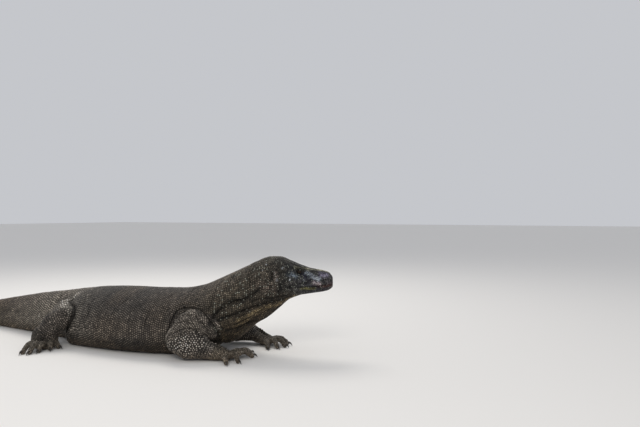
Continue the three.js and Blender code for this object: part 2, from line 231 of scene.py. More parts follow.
def catmullRom(points, t):
    # centripetal Catmull-Rom curve through the points; t runs from 0 to 1 with equal shares for every span
    points = np.array(points, float)
    padded = np.concatenate([[2 * points[0] - points[1]], points, [2 * points[-1] - points[-2]]])
    spans = len(points) - 1
    k = np.clip((t * spans).astype(int), 0, spans - 1)
    u = (t * spans - k)[:, None]
    p0, p1, p2, p3 = padded[k], padded[k + 1], padded[k + 2], padded[k + 3]
    d0, d1, d2 = [np.sqrt(np.linalg.norm(b - a, axis=1))[:, None] for a, b in ((p0, p1), (p1, p2), (p2, p3))]
    leave = ((p1 - p0) / d0 - (p2 - p0) / (d0 + d1) + (p2 - p1) / d1) * d1
    arrive = ((p2 - p1) / d1 - (p3 - p1) / (d1 + d2) + (p3 - p2) / d2) * d1
    return hermite(p1, p2, leave, arrive, u)


def sweepFrame(points, sizes, t):
    # centre, direction, sideways and upward axes, and the two half sizes along a limb's curve
    ahead = unit(catmullRom(points, np.minimum(t + 0.002, 1)) - catmullRom(points, np.maximum(t - 0.002, 0)))
    side = unit(np.cross([0, 0, 1], ahead))
    wide, high = [np.interp(t, np.linspace(0, 1, len(points)), size) for size in np.transpose(sizes)]
    return catmullRom(points, t), ahead, side, np.cross(ahead, side), wide, high


def sweepForm(points, sizes, steps, sides, grow):
    # an ellipse carried along the curve; the ends are rounded by rings that shrink as a quarter circle
    bend = np.linspace(1.45, 0.25, 6)
    t = np.concatenate([bend * 0, np.linspace(0, 1, steps), bend * 0 + 1])
    angle = np.concatenate([-bend, np.zeros(steps), bend[::-1]])
    centre, ahead, side, over, wide, high = sweepFrame(points, sizes, t)
    wide, high, shrink = wide + grow, high + grow, np.cos(angle)
    reach = np.sin(angle) * np.minimum(wide, high)
    around = np.arange(sides) * 2 * np.pi / sides
    grid = (centre + ahead * reach[:, None])[:, None, :]
    grid = grid + side[:, None, :] * (np.cos(around)[None, :] * (wide * shrink)[:, None])[:, :, None]
    grid = grid + over[:, None, :] * (np.sin(around)[None, :] * (high * shrink)[:, None])[:, :, None]
    grid[..., 2] = np.maximum(grid[..., 2], -grow)
    return grid


def eggForm(at, left, up, radii, dip):
    # a sphere stretched along, across and up: sin and cos of latitude and longitude, tipped forwards by dip
    # and turned to the heading
    latitude = np.linspace(-1.5, 1.5, 20)[:, None]
    longitude = np.arange(32)[None, :] * 2 * np.pi / 32
    heading = headingAt(at)[0]
    along = np.sin(latitude) * radii[0] + 0 * longitude
    across = np.cos(latitude) * np.cos(longitude) * radii[1]
    height = np.cos(latitude) * np.sin(longitude) * radii[2]
    c, s = math.cos(math.radians(dip)), math.sin(math.radians(dip))
    along, height = along * c + height * s, height * c - along * s
    x = along * np.cos(heading) - across * np.sin(heading)
    y = along * np.sin(heading) + across * np.cos(heading)
    return np.stack([x, y, height], -1) + bodyPoint(at, left, up)


def gridMesh(grid):
    # faces over a grid of rings: quads between neighbours, and a fan to the middle of each end ring
    rings, sides = grid.shape[:2]
    points = np.concatenate([grid.reshape(-1, 3), grid[0].mean(0)[None], grid[-1].mean(0)[None]])
    r, i = np.meshgrid(np.arange(rings - 1), np.arange(sides), indexing="ij")
    j = (i + 1) % sides
    here, after = r * sides, (r + 1) * sides
    quads = np.stack([here + i, here + j, after + j, after + i], -1).reshape(-1, 4)
    i, j, end = i[0], j[0], (rings - 1) * sides
    startFan = np.stack([np.full(sides, rings * sides), j, i], -1)
    endFan = np.stack([np.full(sides, rings * sides + 1), i + end, j + end], -1)
    return points, quads.tolist() + startFan.tolist() + endFan.tolist()


# limbs
# joints in millimetres with half width and half height; digits run from the inner to the outer one
legs = {
    "front_right": {
        "root": ((452, -46, 130), (66, 62)),
        "upper": ((412, -111, 140), (63, 68)),
        "hinge": ((374, -160, 84), (54, 60)),
        "lower": ((414, -142, 72), (58, 72)),
        "ankle": ((486, -104, 38), (36, 34)),
        "palm": ((540, -66, 21), (46, 23)),
        "digits": [
            ((542, -40, 20), (546, 6, 25), (538, 42, 9)),
            ((560, -40, 22), (578, 10, 30), (580, 54, 9)),
            ((572, -54, 23), (602, -20, 32), (616, 10, 9)),
            ((570, -76, 23), (602, -88, 32), (620, -96, 9)),
            ((552, -96, 20), (578, -124, 26), (596, -142, 9)),
        ],
        "digitSize": 12.5,
        "clawSize": (6, 27),
    },
    "front_left": {
        "root": ((412, 140, 130), (66, 62)),
        "upper": ((370, 186, 140), (63, 68)),
        "hinge": ((326, 224, 84), (54, 60)),
        "lower": ((390, 246, 70), (57, 68)),
        "ankle": ((462, 262, 42), (36, 34)),
        "palm": ((528, 262, 21), (46, 23)),
        "digits": [
            ((538, 234, 20), (566, 202, 25), (586, 176, 9)),
            ((550, 246, 22), (590, 226, 30), (616, 208, 9)),
            ((556, 262, 23), (602, 254, 32), (630, 248, 9)),
            ((552, 278, 23), (590, 286, 31), (616, 290, 9)),
            ((532, 290, 20), (556, 312, 26), (572, 330, 9)),
        ],
        "digitSize": 12.5,
        "clawSize": (6, 27),
    },
    "hind_right": {
        "root": ((-372, -40, 120), (82, 76)),
        "upper": ((-338, -118, 126), (74, 70)),
        "hinge": ((-254, -199, 135), (47, 47)),
        "lower": ((-290, -228, 106), (62, 52)),
        "ankle": ((-316, -254, 60), (58, 42)),
        "palm": ((-294, -278, 28), (58, 31)),
        "digits": [
            ((-270, -244, 20), (-256, -246, 27), (-240, -247, 9)),
            ((-274, -270, 23), (-252, -282, 31), (-238, -292, 9)),
            ((-280, -294, 24), (-260, -320, 32), (-248, -342, 9)),
            ((-292, -308, 24), (-272, -346, 34), (-256, -380, 9)),
            ((-318, -292, 24), (-306, -342, 34), (-286, -392, 9)),
        ],
        "digitSize": 13,
        "clawSize": (6.5, 28),
    },
    "hind_left": {
        "root": ((-376, 46, 120), (82, 76)),
        "upper": ((-346, 124, 126), (74, 70)),
        "hinge": ((-266, 209, 136), (47, 47)),
        "lower": ((-306, 238, 105), (62, 52)),
        "ankle": ((-340, 266, 60), (58, 42)),
        "palm": ((-320, 294, 28), (58, 31)),
        "digits": [
            ((-296, 268, 20), (-270, 272, 26), (-250, 274, 9)),
            ((-300, 290, 23), (-274, 308, 31), (-256, 320, 9)),
            ((-308, 312, 24), (-288, 342, 32), (-274, 366, 9)),
            ((-322, 324, 24), (-308, 364, 34), (-298, 400, 9)),
            ((-346, 306, 24), (-352, 352, 34), (-350, 396, 9)),
        ],
        "digitSize": 13,
        "clawSize": (6.5, 28),
    },
}


def limbSweeps(leg):
    # the sweeps of a leg: name, points, sizes
    def through(*joints):
        return [leg[j][0] for j in joints], [leg[j][1] for j in joints]
    sweeps = [("upper", *through("root", "upper", "hinge")), ("lower", *through("hinge", "lower", "ankle")),
              ("palm", *through("ankle", "palm"))]
    size = leg["digitSize"]
    digitSizes = [(1.3 * size, 1.2 * size), (size, size), (0.85 * size, 0.85 * size)]
    return sweeps + [(f"digit{i + 1}", list(points), digitSizes) for i, points in enumerate(leg["digits"])]


# skin
skinValues = {
    "coatDepth": 2.2,         # how far the skin lies inside the outline
    "lowest": 1.0,            # height of the flats it rests on
    "voxel": 5.4,             # grain of the joined surface, finer where magnified
    "faces": 190000,
}
eyePlace = (787, 358)
eyeRadius = 9.5
eyeSunk = 5
eyeOut = sideAt(*eyePlace) - eyeSunk
eyeMiddles = {way: bodyPoint(eyePlace[0], way * eyeOut, eyePlace[1]) for way in (-1, 1)}

# the CAD model's origin lies under the middle of its box, so the animal's frame is found from the right eye
low, high = [np.array(corner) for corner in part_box("eye_right")]
origin = (low + high) / 2 - eyeMiddles[-1] * mm
origin[2] = 0


def makeObject(name, points, faces):
    # a mesh object from points in millimetres in the animal's frame
    mesh = bpy.data.meshes.new(name)
    mesh.from_pydata((np.asarray(points) * mm + origin).tolist(), [], faces)
    mesh.update()
    mesh.shade_smooth()
    return addObject(name, mesh)


def withModifier(points, faces, kind, **settings):
    # the mesh after one modifier, as points and triangles or quads, in the units it came in
    mesh = bpy.data.meshes.new("work")
    mesh.from_pydata((np.asarray(points) * mm).tolist(), [], faces)
    obj = addObject("work", mesh)
    modifier = obj.modifiers.new("work", kind)
    for key, value in settings.items():
        setattr(modifier, key, value)
    made = obj.evaluated_get(bpy.context.evaluated_depsgraph_get()).to_mesh()
    flat = np.empty(len(made.vertices) * 3, np.float32)
    made.vertices.foreach_get("co", flat)
    corners = np.empty(len(made.loops), np.int32)
    made.loops.foreach_get("vertex_index", corners)
    counts = np.empty(len(made.polygons), np.int32)
    made.polygons.foreach_get("loop_total", counts)
    bpy.data.objects.remove(obj)
    bpy.data.meshes.remove(mesh)
    return flat.reshape(-1, 3).astype(float) / mm, corners, counts


# centre, reach and how many times finer the joined surface is there: head, eyes and feet
magnifiers = [(bodyPoint(790, 0, 330), 165, 2.0)]
magnifiers += [(eyeMiddles[way], 17, 1.8) for way in (-1, 1)]
for leg in legs.values():
    tips = np.array([digit[1] for digit in leg["digits"]], float)
    magnifiers.append(((tips.mean(0) + np.array(leg["palm"][0])) / 2, 88, 1.6))


def stretchAt(radius, reach, factor):
    return np.where(radius < reach, radius * factor, radius + (factor - 1) * reach)


def magnified(points):
    # each magnifier spreads space around its centre; what lies beyond its reach is pushed out by a constant
    points = np.array(points, float)
    done = []
    for centre, reach, factor in magnifiers:
        centre, scale = np.array(centre, float), 1
        for c, r, f in done:
            away = np.linalg.norm(centre - c)
            moved = stretchAt(away, r, f)
            scale *= f if away < r else 1
            centre = c + (centre - c) * (moved / max(away, 1e-9))
        reach = reach * scale
        radius = np.linalg.norm(points - centre, axis=1)
        share = stretchAt(radius, reach, factor) / np.maximum(radius, 1e-9)
        points = centre + (points - centre) * share[:, None]
        done.append((centre, reach, factor))
    return points, done


def unmagnified(points, done):
    for centre, reach, factor in reversed(done):
        radius = np.linalg.norm(points - centre, axis=1)
        back = np.where(radius < reach * factor, radius / factor, radius - (factor - 1) * reach)
        points = centre + (points - centre) * (back / np.maximum(radius, 1e-9))[:, None]
    return points


# swellings on both sides of the head: at, out, up, radii along, across and up, and dip forwards in degrees
swellings = {
    "brow": (780, sideAt(780, 370) - 7, 370, (38, 12, 10), 12),
    "snout": (844, sideAt(844, 354) - 8, 355, (44, 10, 9), 14),
    "cheek": (712, 54, 304, (52, 36, 46), 0),
    "nose": (892, 26, 325, (20, 13, 15), 0),
}


def skinForms(grow):
    # every swept or lofted form of the flesh, as grids
    stations = [np.arange(-1850, 560, 8), np.arange(560, 904, 5), np.arange(904, 923, 2), [923.4]]
    stations = np.concatenate(stations)
    forms = [sectionForm(bodyRows, stations, 96, grow),
             sectionForm(throatRows, np.arange(415, 800.1, 5), 72, grow)]
    for way in (-1, 1):
        for at, out, up, radii, dip in swellings.values():
            forms.append(eggForm(at, way * out, up, [radius + grow for radius in radii], dip))
    for leg in legs.values():
        for name, points, sizes in limbSweeps(leg):
            forms.append(sweepForm(points, sizes, 26, 36, grow))
    return forms


def joinForms(forms):
    points, faces, offset = [], [], 0
    for grid in forms:
        p, f = gridMesh(grid)
        points.append(p)
        faces += [[k + offset for k in face] for face in f]
        offset += len(p)
    return np.concatenate(points), faces


points, faces = joinForms(skinForms(-skinValues["coatDepth"]))
spread, done = magnified(points)
spread, corners, counts = withModifier(spread, faces, "REMESH", mode="VOXEL", adaptivity=0.0,
                                       voxel_size=skinValues["voxel"] * mm)
skin = unmagnified(spread, done)
assert (counts == 4).all()
quads = corners.reshape(-1, 4)
report(f"skin joined: {len(skin)} points")


def noise(points, size, seed):
    # smooth value noise from -1 to 1: hashed values on a lattice, blended by a quintic
    place = np.asarray(points) / size + 1000.0
    cell = np.floor(place).astype(np.int64)
    f = place - cell
    f = f * f * f * (f * (f * 6 - 15) + 10)
    total = np.zeros(len(place))
    for corner in range(8):
        step = np.array([corner & 1, corner >> 1 & 1, corner >> 2])
        k = cell + step
        h = (k[:, 0] * 73856093 ^ k[:, 1] * 19349663 ^ k[:, 2] * 83492791 ^ seed * 2654435761) & 0xFFFFFFFF
        h = ((h ^ h >> 15) * 2246822519) & 0xFFFFFFFF
        h = ((h ^ h >> 13) * 3266489917) & 0xFFFFFFFF
        value = (h ^ h >> 16) / 0x7FFFFFFF - 1
        total += value * np.prod(np.where(step, f, 1 - f), axis=1)
    return total


def neighbours(faces):
    # both ends of every edge of the faces, each way round
    a, b = faces.ravel(), np.roll(faces, -1, axis=1).ravel()
    return np.concatenate([a, b]), np.concatenate([b, a])


def gathered(index, vectors, count):
    # the sum of the vectors at each index
    return np.stack([np.bincount(index, vectors[:, k], count) for k in range(3)], -1)


def vertexNormals(points, faces):
    # the sum of the crossed diagonals of quads, or edges of triangles, round each vertex
    (a, b), (c, d) = ((0, 2), (1, 3)) if faces.shape[1] == 4 else ((0, 1), (0, 2))
    corner = points[faces]
    cross = np.cross(corner[:, b] - corner[:, a], corner[:, d] - corner[:, c])
    return unit(gathered(faces.ravel(), np.repeat(cross, faces.shape[1], axis=0), len(points)))


def relax(points, faces, weight, times, fillOnly):
    # each vertex moves towards the mean of its neighbours; with fillOnly only hollows do, for fillets
    chosen = weight > 0.01
    i, j = neighbours(faces)
    keep = chosen[i]
    index = np.cumsum(chosen) - 1
    i, j, n = index[i[keep]], j[keep], int(chosen.sum())
    share = 1 / np.maximum(np.bincount(i, minlength=n), 1)
    points = points.copy()
    for turn in range(times):
        move = gathered(i, points[j], n) * share[:, None] - points[chosen]
        if fillOnly:
            if turn % 4 == 0:
                normal = vertexNormals(points, faces)[chosen]
            move = move * ((move * normal).sum(1) > 0)[:, None]
        points[chosen] += move * weight[chosen][:, None] * 0.6
    return points


def ball(points, centre, radius):
    # 1 at the centre, falling smoothly to 0 at the radius
    away = np.linalg.norm(points - np.asarray(centre, float), axis=1) / radius
    return np.clip(1 - away * away, 0, 1) ** 1.5


# fillets: everywhere a little, and more where limbs grow from the trunk and digits from the palm
softness = np.full(len(skin), 0.35)
for name, leg in legs.items():
    for joint, radius in (("root", 170), ("upper", 120), ("ankle", 60), ("palm", 90)):
        if name.startswith("hind") or joint != "upper":
            softness = np.maximum(softness, ball(skin, leg[joint][0], radius))
skin = relax(skin, quads, np.full(len(skin), 0.8), 2, False)
skin = relax(skin, quads, softness, 22, True)
normals = vertexNormals(skin, quads)
if (normals[np.argmax(skin[:, 2])] @ [0, 0, 1]) < 0:
    quads = quads[:, ::-1]
    normals = -normals
report("skin softened")


# folds and features, pressed into the skin or raised from it
# width and depth in millimetres, lip: the height of the swelling beside it; points are at, out from the
# midline and up, for both sides; a depth below 0 is a ridge
features = {
    "neckCrease": [(7.5, 11.5, 2.2), (630, 88, 292), (612, 92, 272), (575, 98, 247), (526, 111, 235),
        (490, 121, 211), (462, 130, 178), (448, 150, 150)],
    "throatRidge": [(7, -3.0, -3.6), (766, 35, 254), (717, 46, 230), (667, 68, 216), (622, 78, 200),
        (584, 85, 176), (547, 97, 160), (499, 111, 144), (477, 129, 130)],
    "throatGroove": [(6.5, 10.0, 1.8), (750, 46, 256), (706, 64, 238), (660, 78, 232), (610, 90, 216),
        (560, 100, 196), (510, 114, 176), (478, 126, 160)],
    "throatRidgeLow": [(6, -2.0, -2.8), (716, 37, 224), (659, 66, 203), (609, 75, 175), (564, 85, 146),
        (516, 100, 122)],
    "throatGrooveLow": [(6.5, 9.0, 1.6), (700, 36, 212), (629, 34, 156), (586, 65, 147), (550, 82, 129),
        (497, 104, 118)],
    "throatGrooveFine": [(4.5, 3.4, 0.8), (730, 52, 262), (690, 66, 252), (640, 80, 246), (596, 88, 236)],
    "armFold": [(5.5, 9.5, 2.0), (294, 176, 112), (299, 170, 137), (305, 165, 159), (320, 146, 198),
        (347, 139, 208), (389, 138, 206), (428, 144, 192), (458, 146, 157), (474, 132, 116),
        (474, 104, 88)],
    "armArcOne": [(4.5, 4.5, 1.2), (330, 196, 128), (336, 190, 158), (356, 186, 178), (384, 180, 184),
        (410, 176, 176), (432, 172, 156), (446, 164, 130), (452, 158, 104)],
    "armArcTwo": [(4, 3.6, 1.0), (338, 212, 120), (350, 208, 144), (372, 204, 160), (398, 198, 158),
        (420, 190, 142), (436, 182, 120)],
    "capEdge": [(5, 4.0, 1.2), (322, 235, 92), (334, 232, 112), (359, 226, 126), (389, 212, 138),
        (414, 198, 132), (434, 186, 112), (446, 176, 90)],
    "armFoldUpper": [(6, 3.6, 1.0), (286, 180, 150), (296, 168, 190), (322, 146, 222), (362, 136, 226),
        (404, 138, 218), (438, 146, 196)],
    "flankEdge": [(6.5, 8.0, 1.6), (-330, 96, 206), (-306, 130, 190), (-276, 146, 183), (-242, 162, 177),
        (-214, 182, 162), (-206, 194, 142), (-210, 204, 122), (-238, 198, 88), (-270, 180, 56),
        (-268, 178, 24)],
    "flankCrest": [(8, -3.4, -0.6), (-312, 40, 238), (-318, 82, 218), (-334, 112, 203), (-318, 138, 196),
        (-300, 160, 190), (-276, 184, 184)],
    "mouth": [(2.2, 3.4, 1.1), (744, 82, 297), (752, 82, 294.5), (775, 72, 292), (800, 64, 291),
        (828, 56, 291.5), (855, 49, 293), (875, 45, 297), (890, 42, 300), (906, 36, 301.5),
        (918, 26, 302), (926, 12, 302)],
    "mouthCorner": [(4.5, 4.0, 1.2), (752, 80, 296), (740, 84, 293), (730, 86, 286), (724, 84, 276),
        (722, 80, 266)],
    "jawFoldOne": [(4.5, 5.0, 1.4), (716, 90, 306), (706, 90, 290), (700, 86, 274), (700, 76, 256)],
    "jawFoldTwo": [(5, 4.5, 1.2), (684, 90, 316), (672, 88, 294), (668, 84, 272), (676, 74, 250)],
    "upperLip": [(4.5, -1.5, -0.4), (756, 80, 302), (800, 66, 298), (850, 52, 300), (890, 44, 307),
        (915, 30, 310)],
    "lowerLip": [(5, -1.6, -0.4), (756, 78, 286), (800, 64, 283), (850, 50, 285), (890, 42, 293),
        (915, 28, 295)],
    "chinGroove": [(6, 2.5, 0), (742, 70, 276), (790, 58, 272), (845, 44, 275), (885, 34, 281)],
    "snoutRidge": [(4.5, -1.6, -0.8), (812, 46, 371), (835, 42, 366), (860, 38, 360), (884, 33, 352),
        (904, 26, 343)],
    "snoutHollow": [(11, 4.6, 0.6), (802, 60, 348), (828, 54, 341), (852, 49, 335), (872, 45, 328)],
    "snoutTop": [(8, 3.0, 0), (806, 10, 380), (830, 14, 371), (860, 16, 365), (890, 12, 358)],
    "noseSwell": [(6, -1.6, 0), (880, 41, 330), (888, 38, 337), (898, 33, 337), (906, 31, 330)],
    "browRidge": [(4.5, -1.8, -0.8), (742, 64, 386), (760, 66, 383), (780, 65, 378), (798, 60, 373),
        (812, 52, 370)],
    "browGroove": [(6, 3.6, 0), (732, 48, 402), (762, 48, 395), (788, 44, 387), (812, 34, 379),
        (828, 32, 372)],
    "underEye": [(4, 2.4, 0.9), (768, 72, 344), (780, 69, 340), (796, 65, 340), (808, 61, 345)],
    "temple": [(13, 6.2, 0.8), (756, 76, 352), (734, 82, 354), (708, 84, 355), (688, 86, 350)],
    "templeRidge": [(6, -1.8, 0), (762, 66, 376), (740, 72, 378), (712, 76, 378), (690, 78, 374)],
    "crown": [(18, 3.4, 0), (700, 12, 424), (735, 11, 410), (770, 10, 394), (800, 9, 382)],
    "ear": [(4.2, 8.0, 2.0), (680, 84, 363), (677, 88, 351), (676, 90, 339), (679, 91, 327)],
    "earHood": [(4, -1.8, 0), (664, 88, 362), (662, 91, 346), (664, 92, 331)],
    "cheekOne": [(6, 2.0, 0.6), (728, 84, 334), (712, 88, 322), (700, 90, 306)],
    "cheekTwo": [(5, 1.8, 0.6), (756, 76, 322), (738, 82, 312), (722, 86, 304)],
    "napeOne": [(6, 2.0, 0.5), (642, 0, 420), (636, 40, 402), (630, 74, 360), (634, 88, 318)],
    "napeTwo": [(7, 2.0, 0.5), (604, 0, 402), (598, 50, 380), (590, 84, 336), (594, 96, 290)],
    "napeThree": [(8, 2.2, 0.5), (566, 10, 384), (556, 60, 354), (548, 94, 306), (556, 104, 262)],
    "napeFour": [(9, 2.2, 0.5), (524, 20, 360), (512, 72, 330), (500, 108, 276), (508, 116, 232)],
    "shoulderBack": [(16, 4.0, 0), (250, 90, 262), (268, 130, 238), (276, 164, 200), (272, 182, 160),
        (280, 184, 110)],
    "shoulderTop": [(14, 3.0, 0), (420, 40, 318), (404, 90, 290), (392, 124, 258), (396, 136, 232)],
    "loinHollow": [(22, 5.0, 0), (-180, 120, 232), (-186, 160, 210), (-190, 190, 170), (-186, 202, 120)],
    "spine": [(9, 1.6, 0), (440, 9, 330), (250, 9, 276), (0, 9, 270), (-300, 9, 250), (-500, 9, 224),
        (-800, 9, 180)],
    "tailSide": [(13, 2.5, 0), (-400, 106, 120), (-600, 94, 112), (-900, 70, 92), (-1200, 44, 66),
        (-1500, 24, 38)],
    "hipFold": [(8, 4.0, 0.8), (-452, 60, 216), (-446, 94, 180), (-436, 108, 132), (-430, 110, 80)],
    "flankFoldA": [(11, 2.8, 0.8), (-110, 176, 208), (-116, 204, 160), (-112, 213, 110), (-120, 208, 56)],
    "flankFoldB": [(11, 2.4, 0.8), (-30, 172, 214), (-40, 204, 164), (-38, 213, 108), (-46, 206, 50)],
    "flankFoldC": [(11, 2.8, 0.8), (52, 170, 216), (44, 202, 166), (46, 212, 104), (38, 204, 48)],
    "flankFoldD": [(11, 2.6, 0.8), (134, 168, 214), (124, 198, 166), (126, 207, 108), (120, 196, 50)],
    "flankFoldE": [(10, 3.0, 0.8), (206, 160, 212), (198, 186, 170), (198, 196, 112), (194, 182, 52)],
    "bellyEdge": [(14, 3.0, 0.6), (220, 170, 62), (120, 190, 58), (0, 198, 54), (-120, 194, 56),
        (-220, 184, 62)],
}
traced = {name: [] for name in features}

# loose folds over the body and throat: from-to along, from-to round the section in degrees, whether they
# run along or across, how many, length, width and depth
foldFamilies = [
    ("body", (470, 640), (-10, 70), "across", 16, 70, 4.5, 1.8),
    ("body", (600, 700), (-30, 30), "across", 9, 48, 3.8, 1.7),
    ("body", (560, 690), (20, 80), "along", 6, 50, 4, 1.2),
    ("body", (300, 470), (5, 80), "across", 12, 90, 6, 1.6),
    ("body", (250, 420), (0, 60), "along", 6, 80, 6, 1.2),
    ("throat", (500, 760), (-70, 20), "along", 18, 90, 4.5, 1.7),
    ("throat", (450, 700), (-60, 20), "across", 14, 50, 4, 1.2),
    ("body", (-420, 240), (-20, 50), "across", 26, 80, 6, 1.5),
    ("body", (-330, 260), (-60, 0), "along", 10, 90, 6, 1.2),
    ("body", (-700, -440), (-30, 60), "across", 8, 70, 7, 1.2),
]


def looseFolds():
    curves = []
    for form, alongRange, roundRange, run, count, length, width, depth in foldFamilies:
        rows = bodyRows if form == "body" else throatRows
        for k in range(count * 2):
            at = randomSource.uniform(*alongRange)
            angle = math.radians(randomSource.uniform(*roundRange))
            girth = smoothColumns(rows, at)[0, -3] + 20
            half = length * randomSource.uniform(0.6, 1.3) / 2
            t = np.linspace(-1, 1, 5)
            sway = randomSource.normal(0, 0.09, 5).cumsum() * half
            along = at + (t * half if run == "along" else sway + 0.25 * half * t)
            turn = angle + (t * half / girth if run == "across" else sway / girth)
            left, up = sectionPlace(rows, along, turn, 0)
            deep = depth * randomSource.uniform(0.6, 1.3)
            curves.append((width, deep, 0.35 * depth, along, left, up, k % 2 * 2 - 1))
    return curves


# creases round a limb's parts: stations, then width, depth and lip, then from and to round in degrees
creases = {
    "digit": ((0.12, 0.3, 0.42, 0.52, 0.62, 0.8), (1.9, 1.0, 0.5), (15, 165)),
    "palm": ((0.15, 0.35, 0.55), (4, 1.6, 0.5), (25, 155)),
    "lower": ((0.04, 0.12, 0.22, 0.34, 0.72, 0.86), (5, 2.2, 0.7), (20, 160)),
    "upper": ((0.55, 0.68, 0.8, 0.9), (5, 2.2, 0.8), (10, 140)),
    "thigh": ((0.55, 0.68, 0.8, 0.9), (5, 3.4, 0.8), (10, 140)),
}


def limbCurves():
    # creases part of the way round every sweep, counted from the other side on a left limb, and tendons
    curves = []
    for name, leg in legs.items():
        for part, points, sizes in limbSweeps(leg):
            thigh = part == "upper" and name.startswith("hind")
            stations, shape, span = creases["thigh" if thigh else part.rstrip("12345")]
            angle = np.radians(np.linspace(*span, 9))[:, None]
            angle = np.pi - angle if name.endswith("left") else angle
            for t in stations:
                centre, ahead, side, over, wide, high = sweepFrame(points, sizes, np.full(9, t))
                ring = side * (np.cos(angle) * wide[:, None]) + over * (np.sin(angle) * high[:, None])
                curves.append((*shape, centre + ring))
        for digit in leg["digits"]:
            tendon = np.array([leg["ankle"][0], leg["palm"][0], digit[0]], float) + [0, 0, 30]
            curves += [(5, -1.6, -0.8, tendon[:2]), (5, -1.4, -0.8, tendon[1:])]
    return curves


def pressStroke(offset, width, depth, lip, curve):
    # moves skin along its normals: -depth exp(-(d/w)^2) on the stroke, lip exp(-((d-1.8w)/0.9w)^2) beside it
    count = max(12, int(np.linalg.norm(np.diff(curve, axis=0), axis=1).sum() / min(width, 3)))
    dense = catmullRom(curve, np.linspace(0, 1, count))
    dense = np.array([skinTree.find_nearest(p)[0] for p in dense.tolist()])
    reach = width * 3.6
    inside = np.flatnonzero(((skin > dense.min(0) - reach) & (skin < dense.max(0) + reach)).all(1))
    for part in np.array_split(inside, max(1, len(inside) * count // 4000000)):
        away = np.linalg.norm(skin[part][:, None] - dense[None], axis=2)
        nearest = away.argmin(1)
        d = away[np.arange(len(part)), nearest] / width
        fade = np.sin(np.pi * (nearest + 0.5) / count) ** 0.55
        offset[part] += fade * (lip * np.exp(-((d - 1.8) / 0.9) ** 2) - depth * np.exp(-d * d))
    return dense


skinTree = BVHTree.FromPolygons(skin.tolist(), quads.tolist())
offset = 0.9 * noise(skin, 62, 3) + 0.45 * noise(skin, 19, 4)
headness = ball(skin, bodyPoint(800, 0, 330), 240)
offset *= 1 - 0.7 * headness
for name, (shape, *curve) in features.items():
    curve = np.array(curve, float)
    for way in (-1, 1):
        line = bodyPoint(curve[:, 0], way * curve[:, 1], curve[:, 2])
        traced[name].append(pressStroke(offset, *shape, line))
for width, depth, lip, along, left, up, way in looseFolds():
    pressStroke(offset, width, depth, lip, bodyPoint(along, way * left, up))
for width, depth, lip, curve in limbCurves():
    pressStroke(offset, width, depth, lip, curve)
tip = np.clip(1.6 * ball(skin, bodyPoint(928, 0, 308), 60), 0, 1)
skin += normals * (np.where(offset > 0, offset * (1 - tip), offset) - 0.7 * tip)[:, None]
report("folds pressed")

# eyelids, nostrils and the flats it rests on
lidValues = {"halfLength": 8.4, "halfHeight": 5.4, "thickness": 1.2, "tilt": -0.12, "rim": 0.9, "sunk": -2.0}
nostril = (893, 39, 324)
nostrilDepth = 5.5


def lidSpace(points, way):
    # from the eye's middle: how far ahead, how far up past the lids' tilt and how far out, and that direction
    heading = headingAt(eyePlace[0])[0]
    out = way * np.array([-math.sin(heading), math.cos(heading), 0])
    away = points - eyeMiddles[way]
    ahead = away @ np.array([math.cos(heading), math.sin(heading), 0])
    return ahead, away[:, 2] - lidValues["tilt"] * ahead, away @ out, out


def shapeLids(skin, way):
    # seen from outside, the skin inside an ellipse sinks behind the eyeball and the ring round it wraps it
    near = np.flatnonzero(np.linalg.norm(skin - eyeMiddles[way], axis=1) < 30)
    a, u, w, out = lidSpace(skin[near], way)
    q = np.hypot(a / lidValues["halfLength"], u / lidValues["halfHeight"])
    cover = np.sqrt(np.maximum(0, eyeRadius ** 2 - a * a - u * u)) + lidValues["thickness"]
    cover += lidValues["rim"] * (np.exp(-((q - 1.25) / 0.2) ** 2) - np.exp(-((q - 1.9) / 0.22) ** 2))
    blend = np.clip((q - 1.3) / 1.2, 0, 1) ** 2
    level = np.where(q < 1, lidValues["sunk"], cover * (1 - blend) + w * blend)
    level = np.where((q < 1) | (q < 2.5) & (w > -3), level, w)
    skin[near] += (level - w)[:, None] * out * (w > -4)[:, None]


for way in (-1, 1):
    shapeLids(skin, way)
    away = (skin - bodyPoint(nostril[0], way * nostril[1], nostril[2])) / [6.5, 6.5, 4.2]
    skin -= normals * (nostrilDepth * np.exp(-(away ** 2).sum(1) ** 2))[:, None]
skin[:, 2] = np.maximum(skin[:, 2], skinValues["lowest"])

skin, corners, counts = withModifier(skin, quads.tolist(), "DECIMATE", decimate_type="COLLAPSE",
                                     ratio=skinValues["faces"] / (2 * len(quads)),
                                     use_collapse_triangulate=True)
triangles = corners.reshape(-1, 3)
normals = vertexNormals(skin, triangles)
skinPiece = makeObject("skin", skin, triangles.tolist())
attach(skinPiece, "root")
flesh = ["tail_tip", "tail_middle", "tail_base", "trunk", "neck", "head", "lower_jaw", "throat"]
for name in legs:
    upperParts = ("upper_arm", "forearm", "hand") if name.startswith("front") else ("thigh", "shank", "foot")
    flesh += [f"{part}_{name}" for part in upperParts]
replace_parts(skinPiece, *flesh)
report(f"skin: {len(triangles)} triangles")

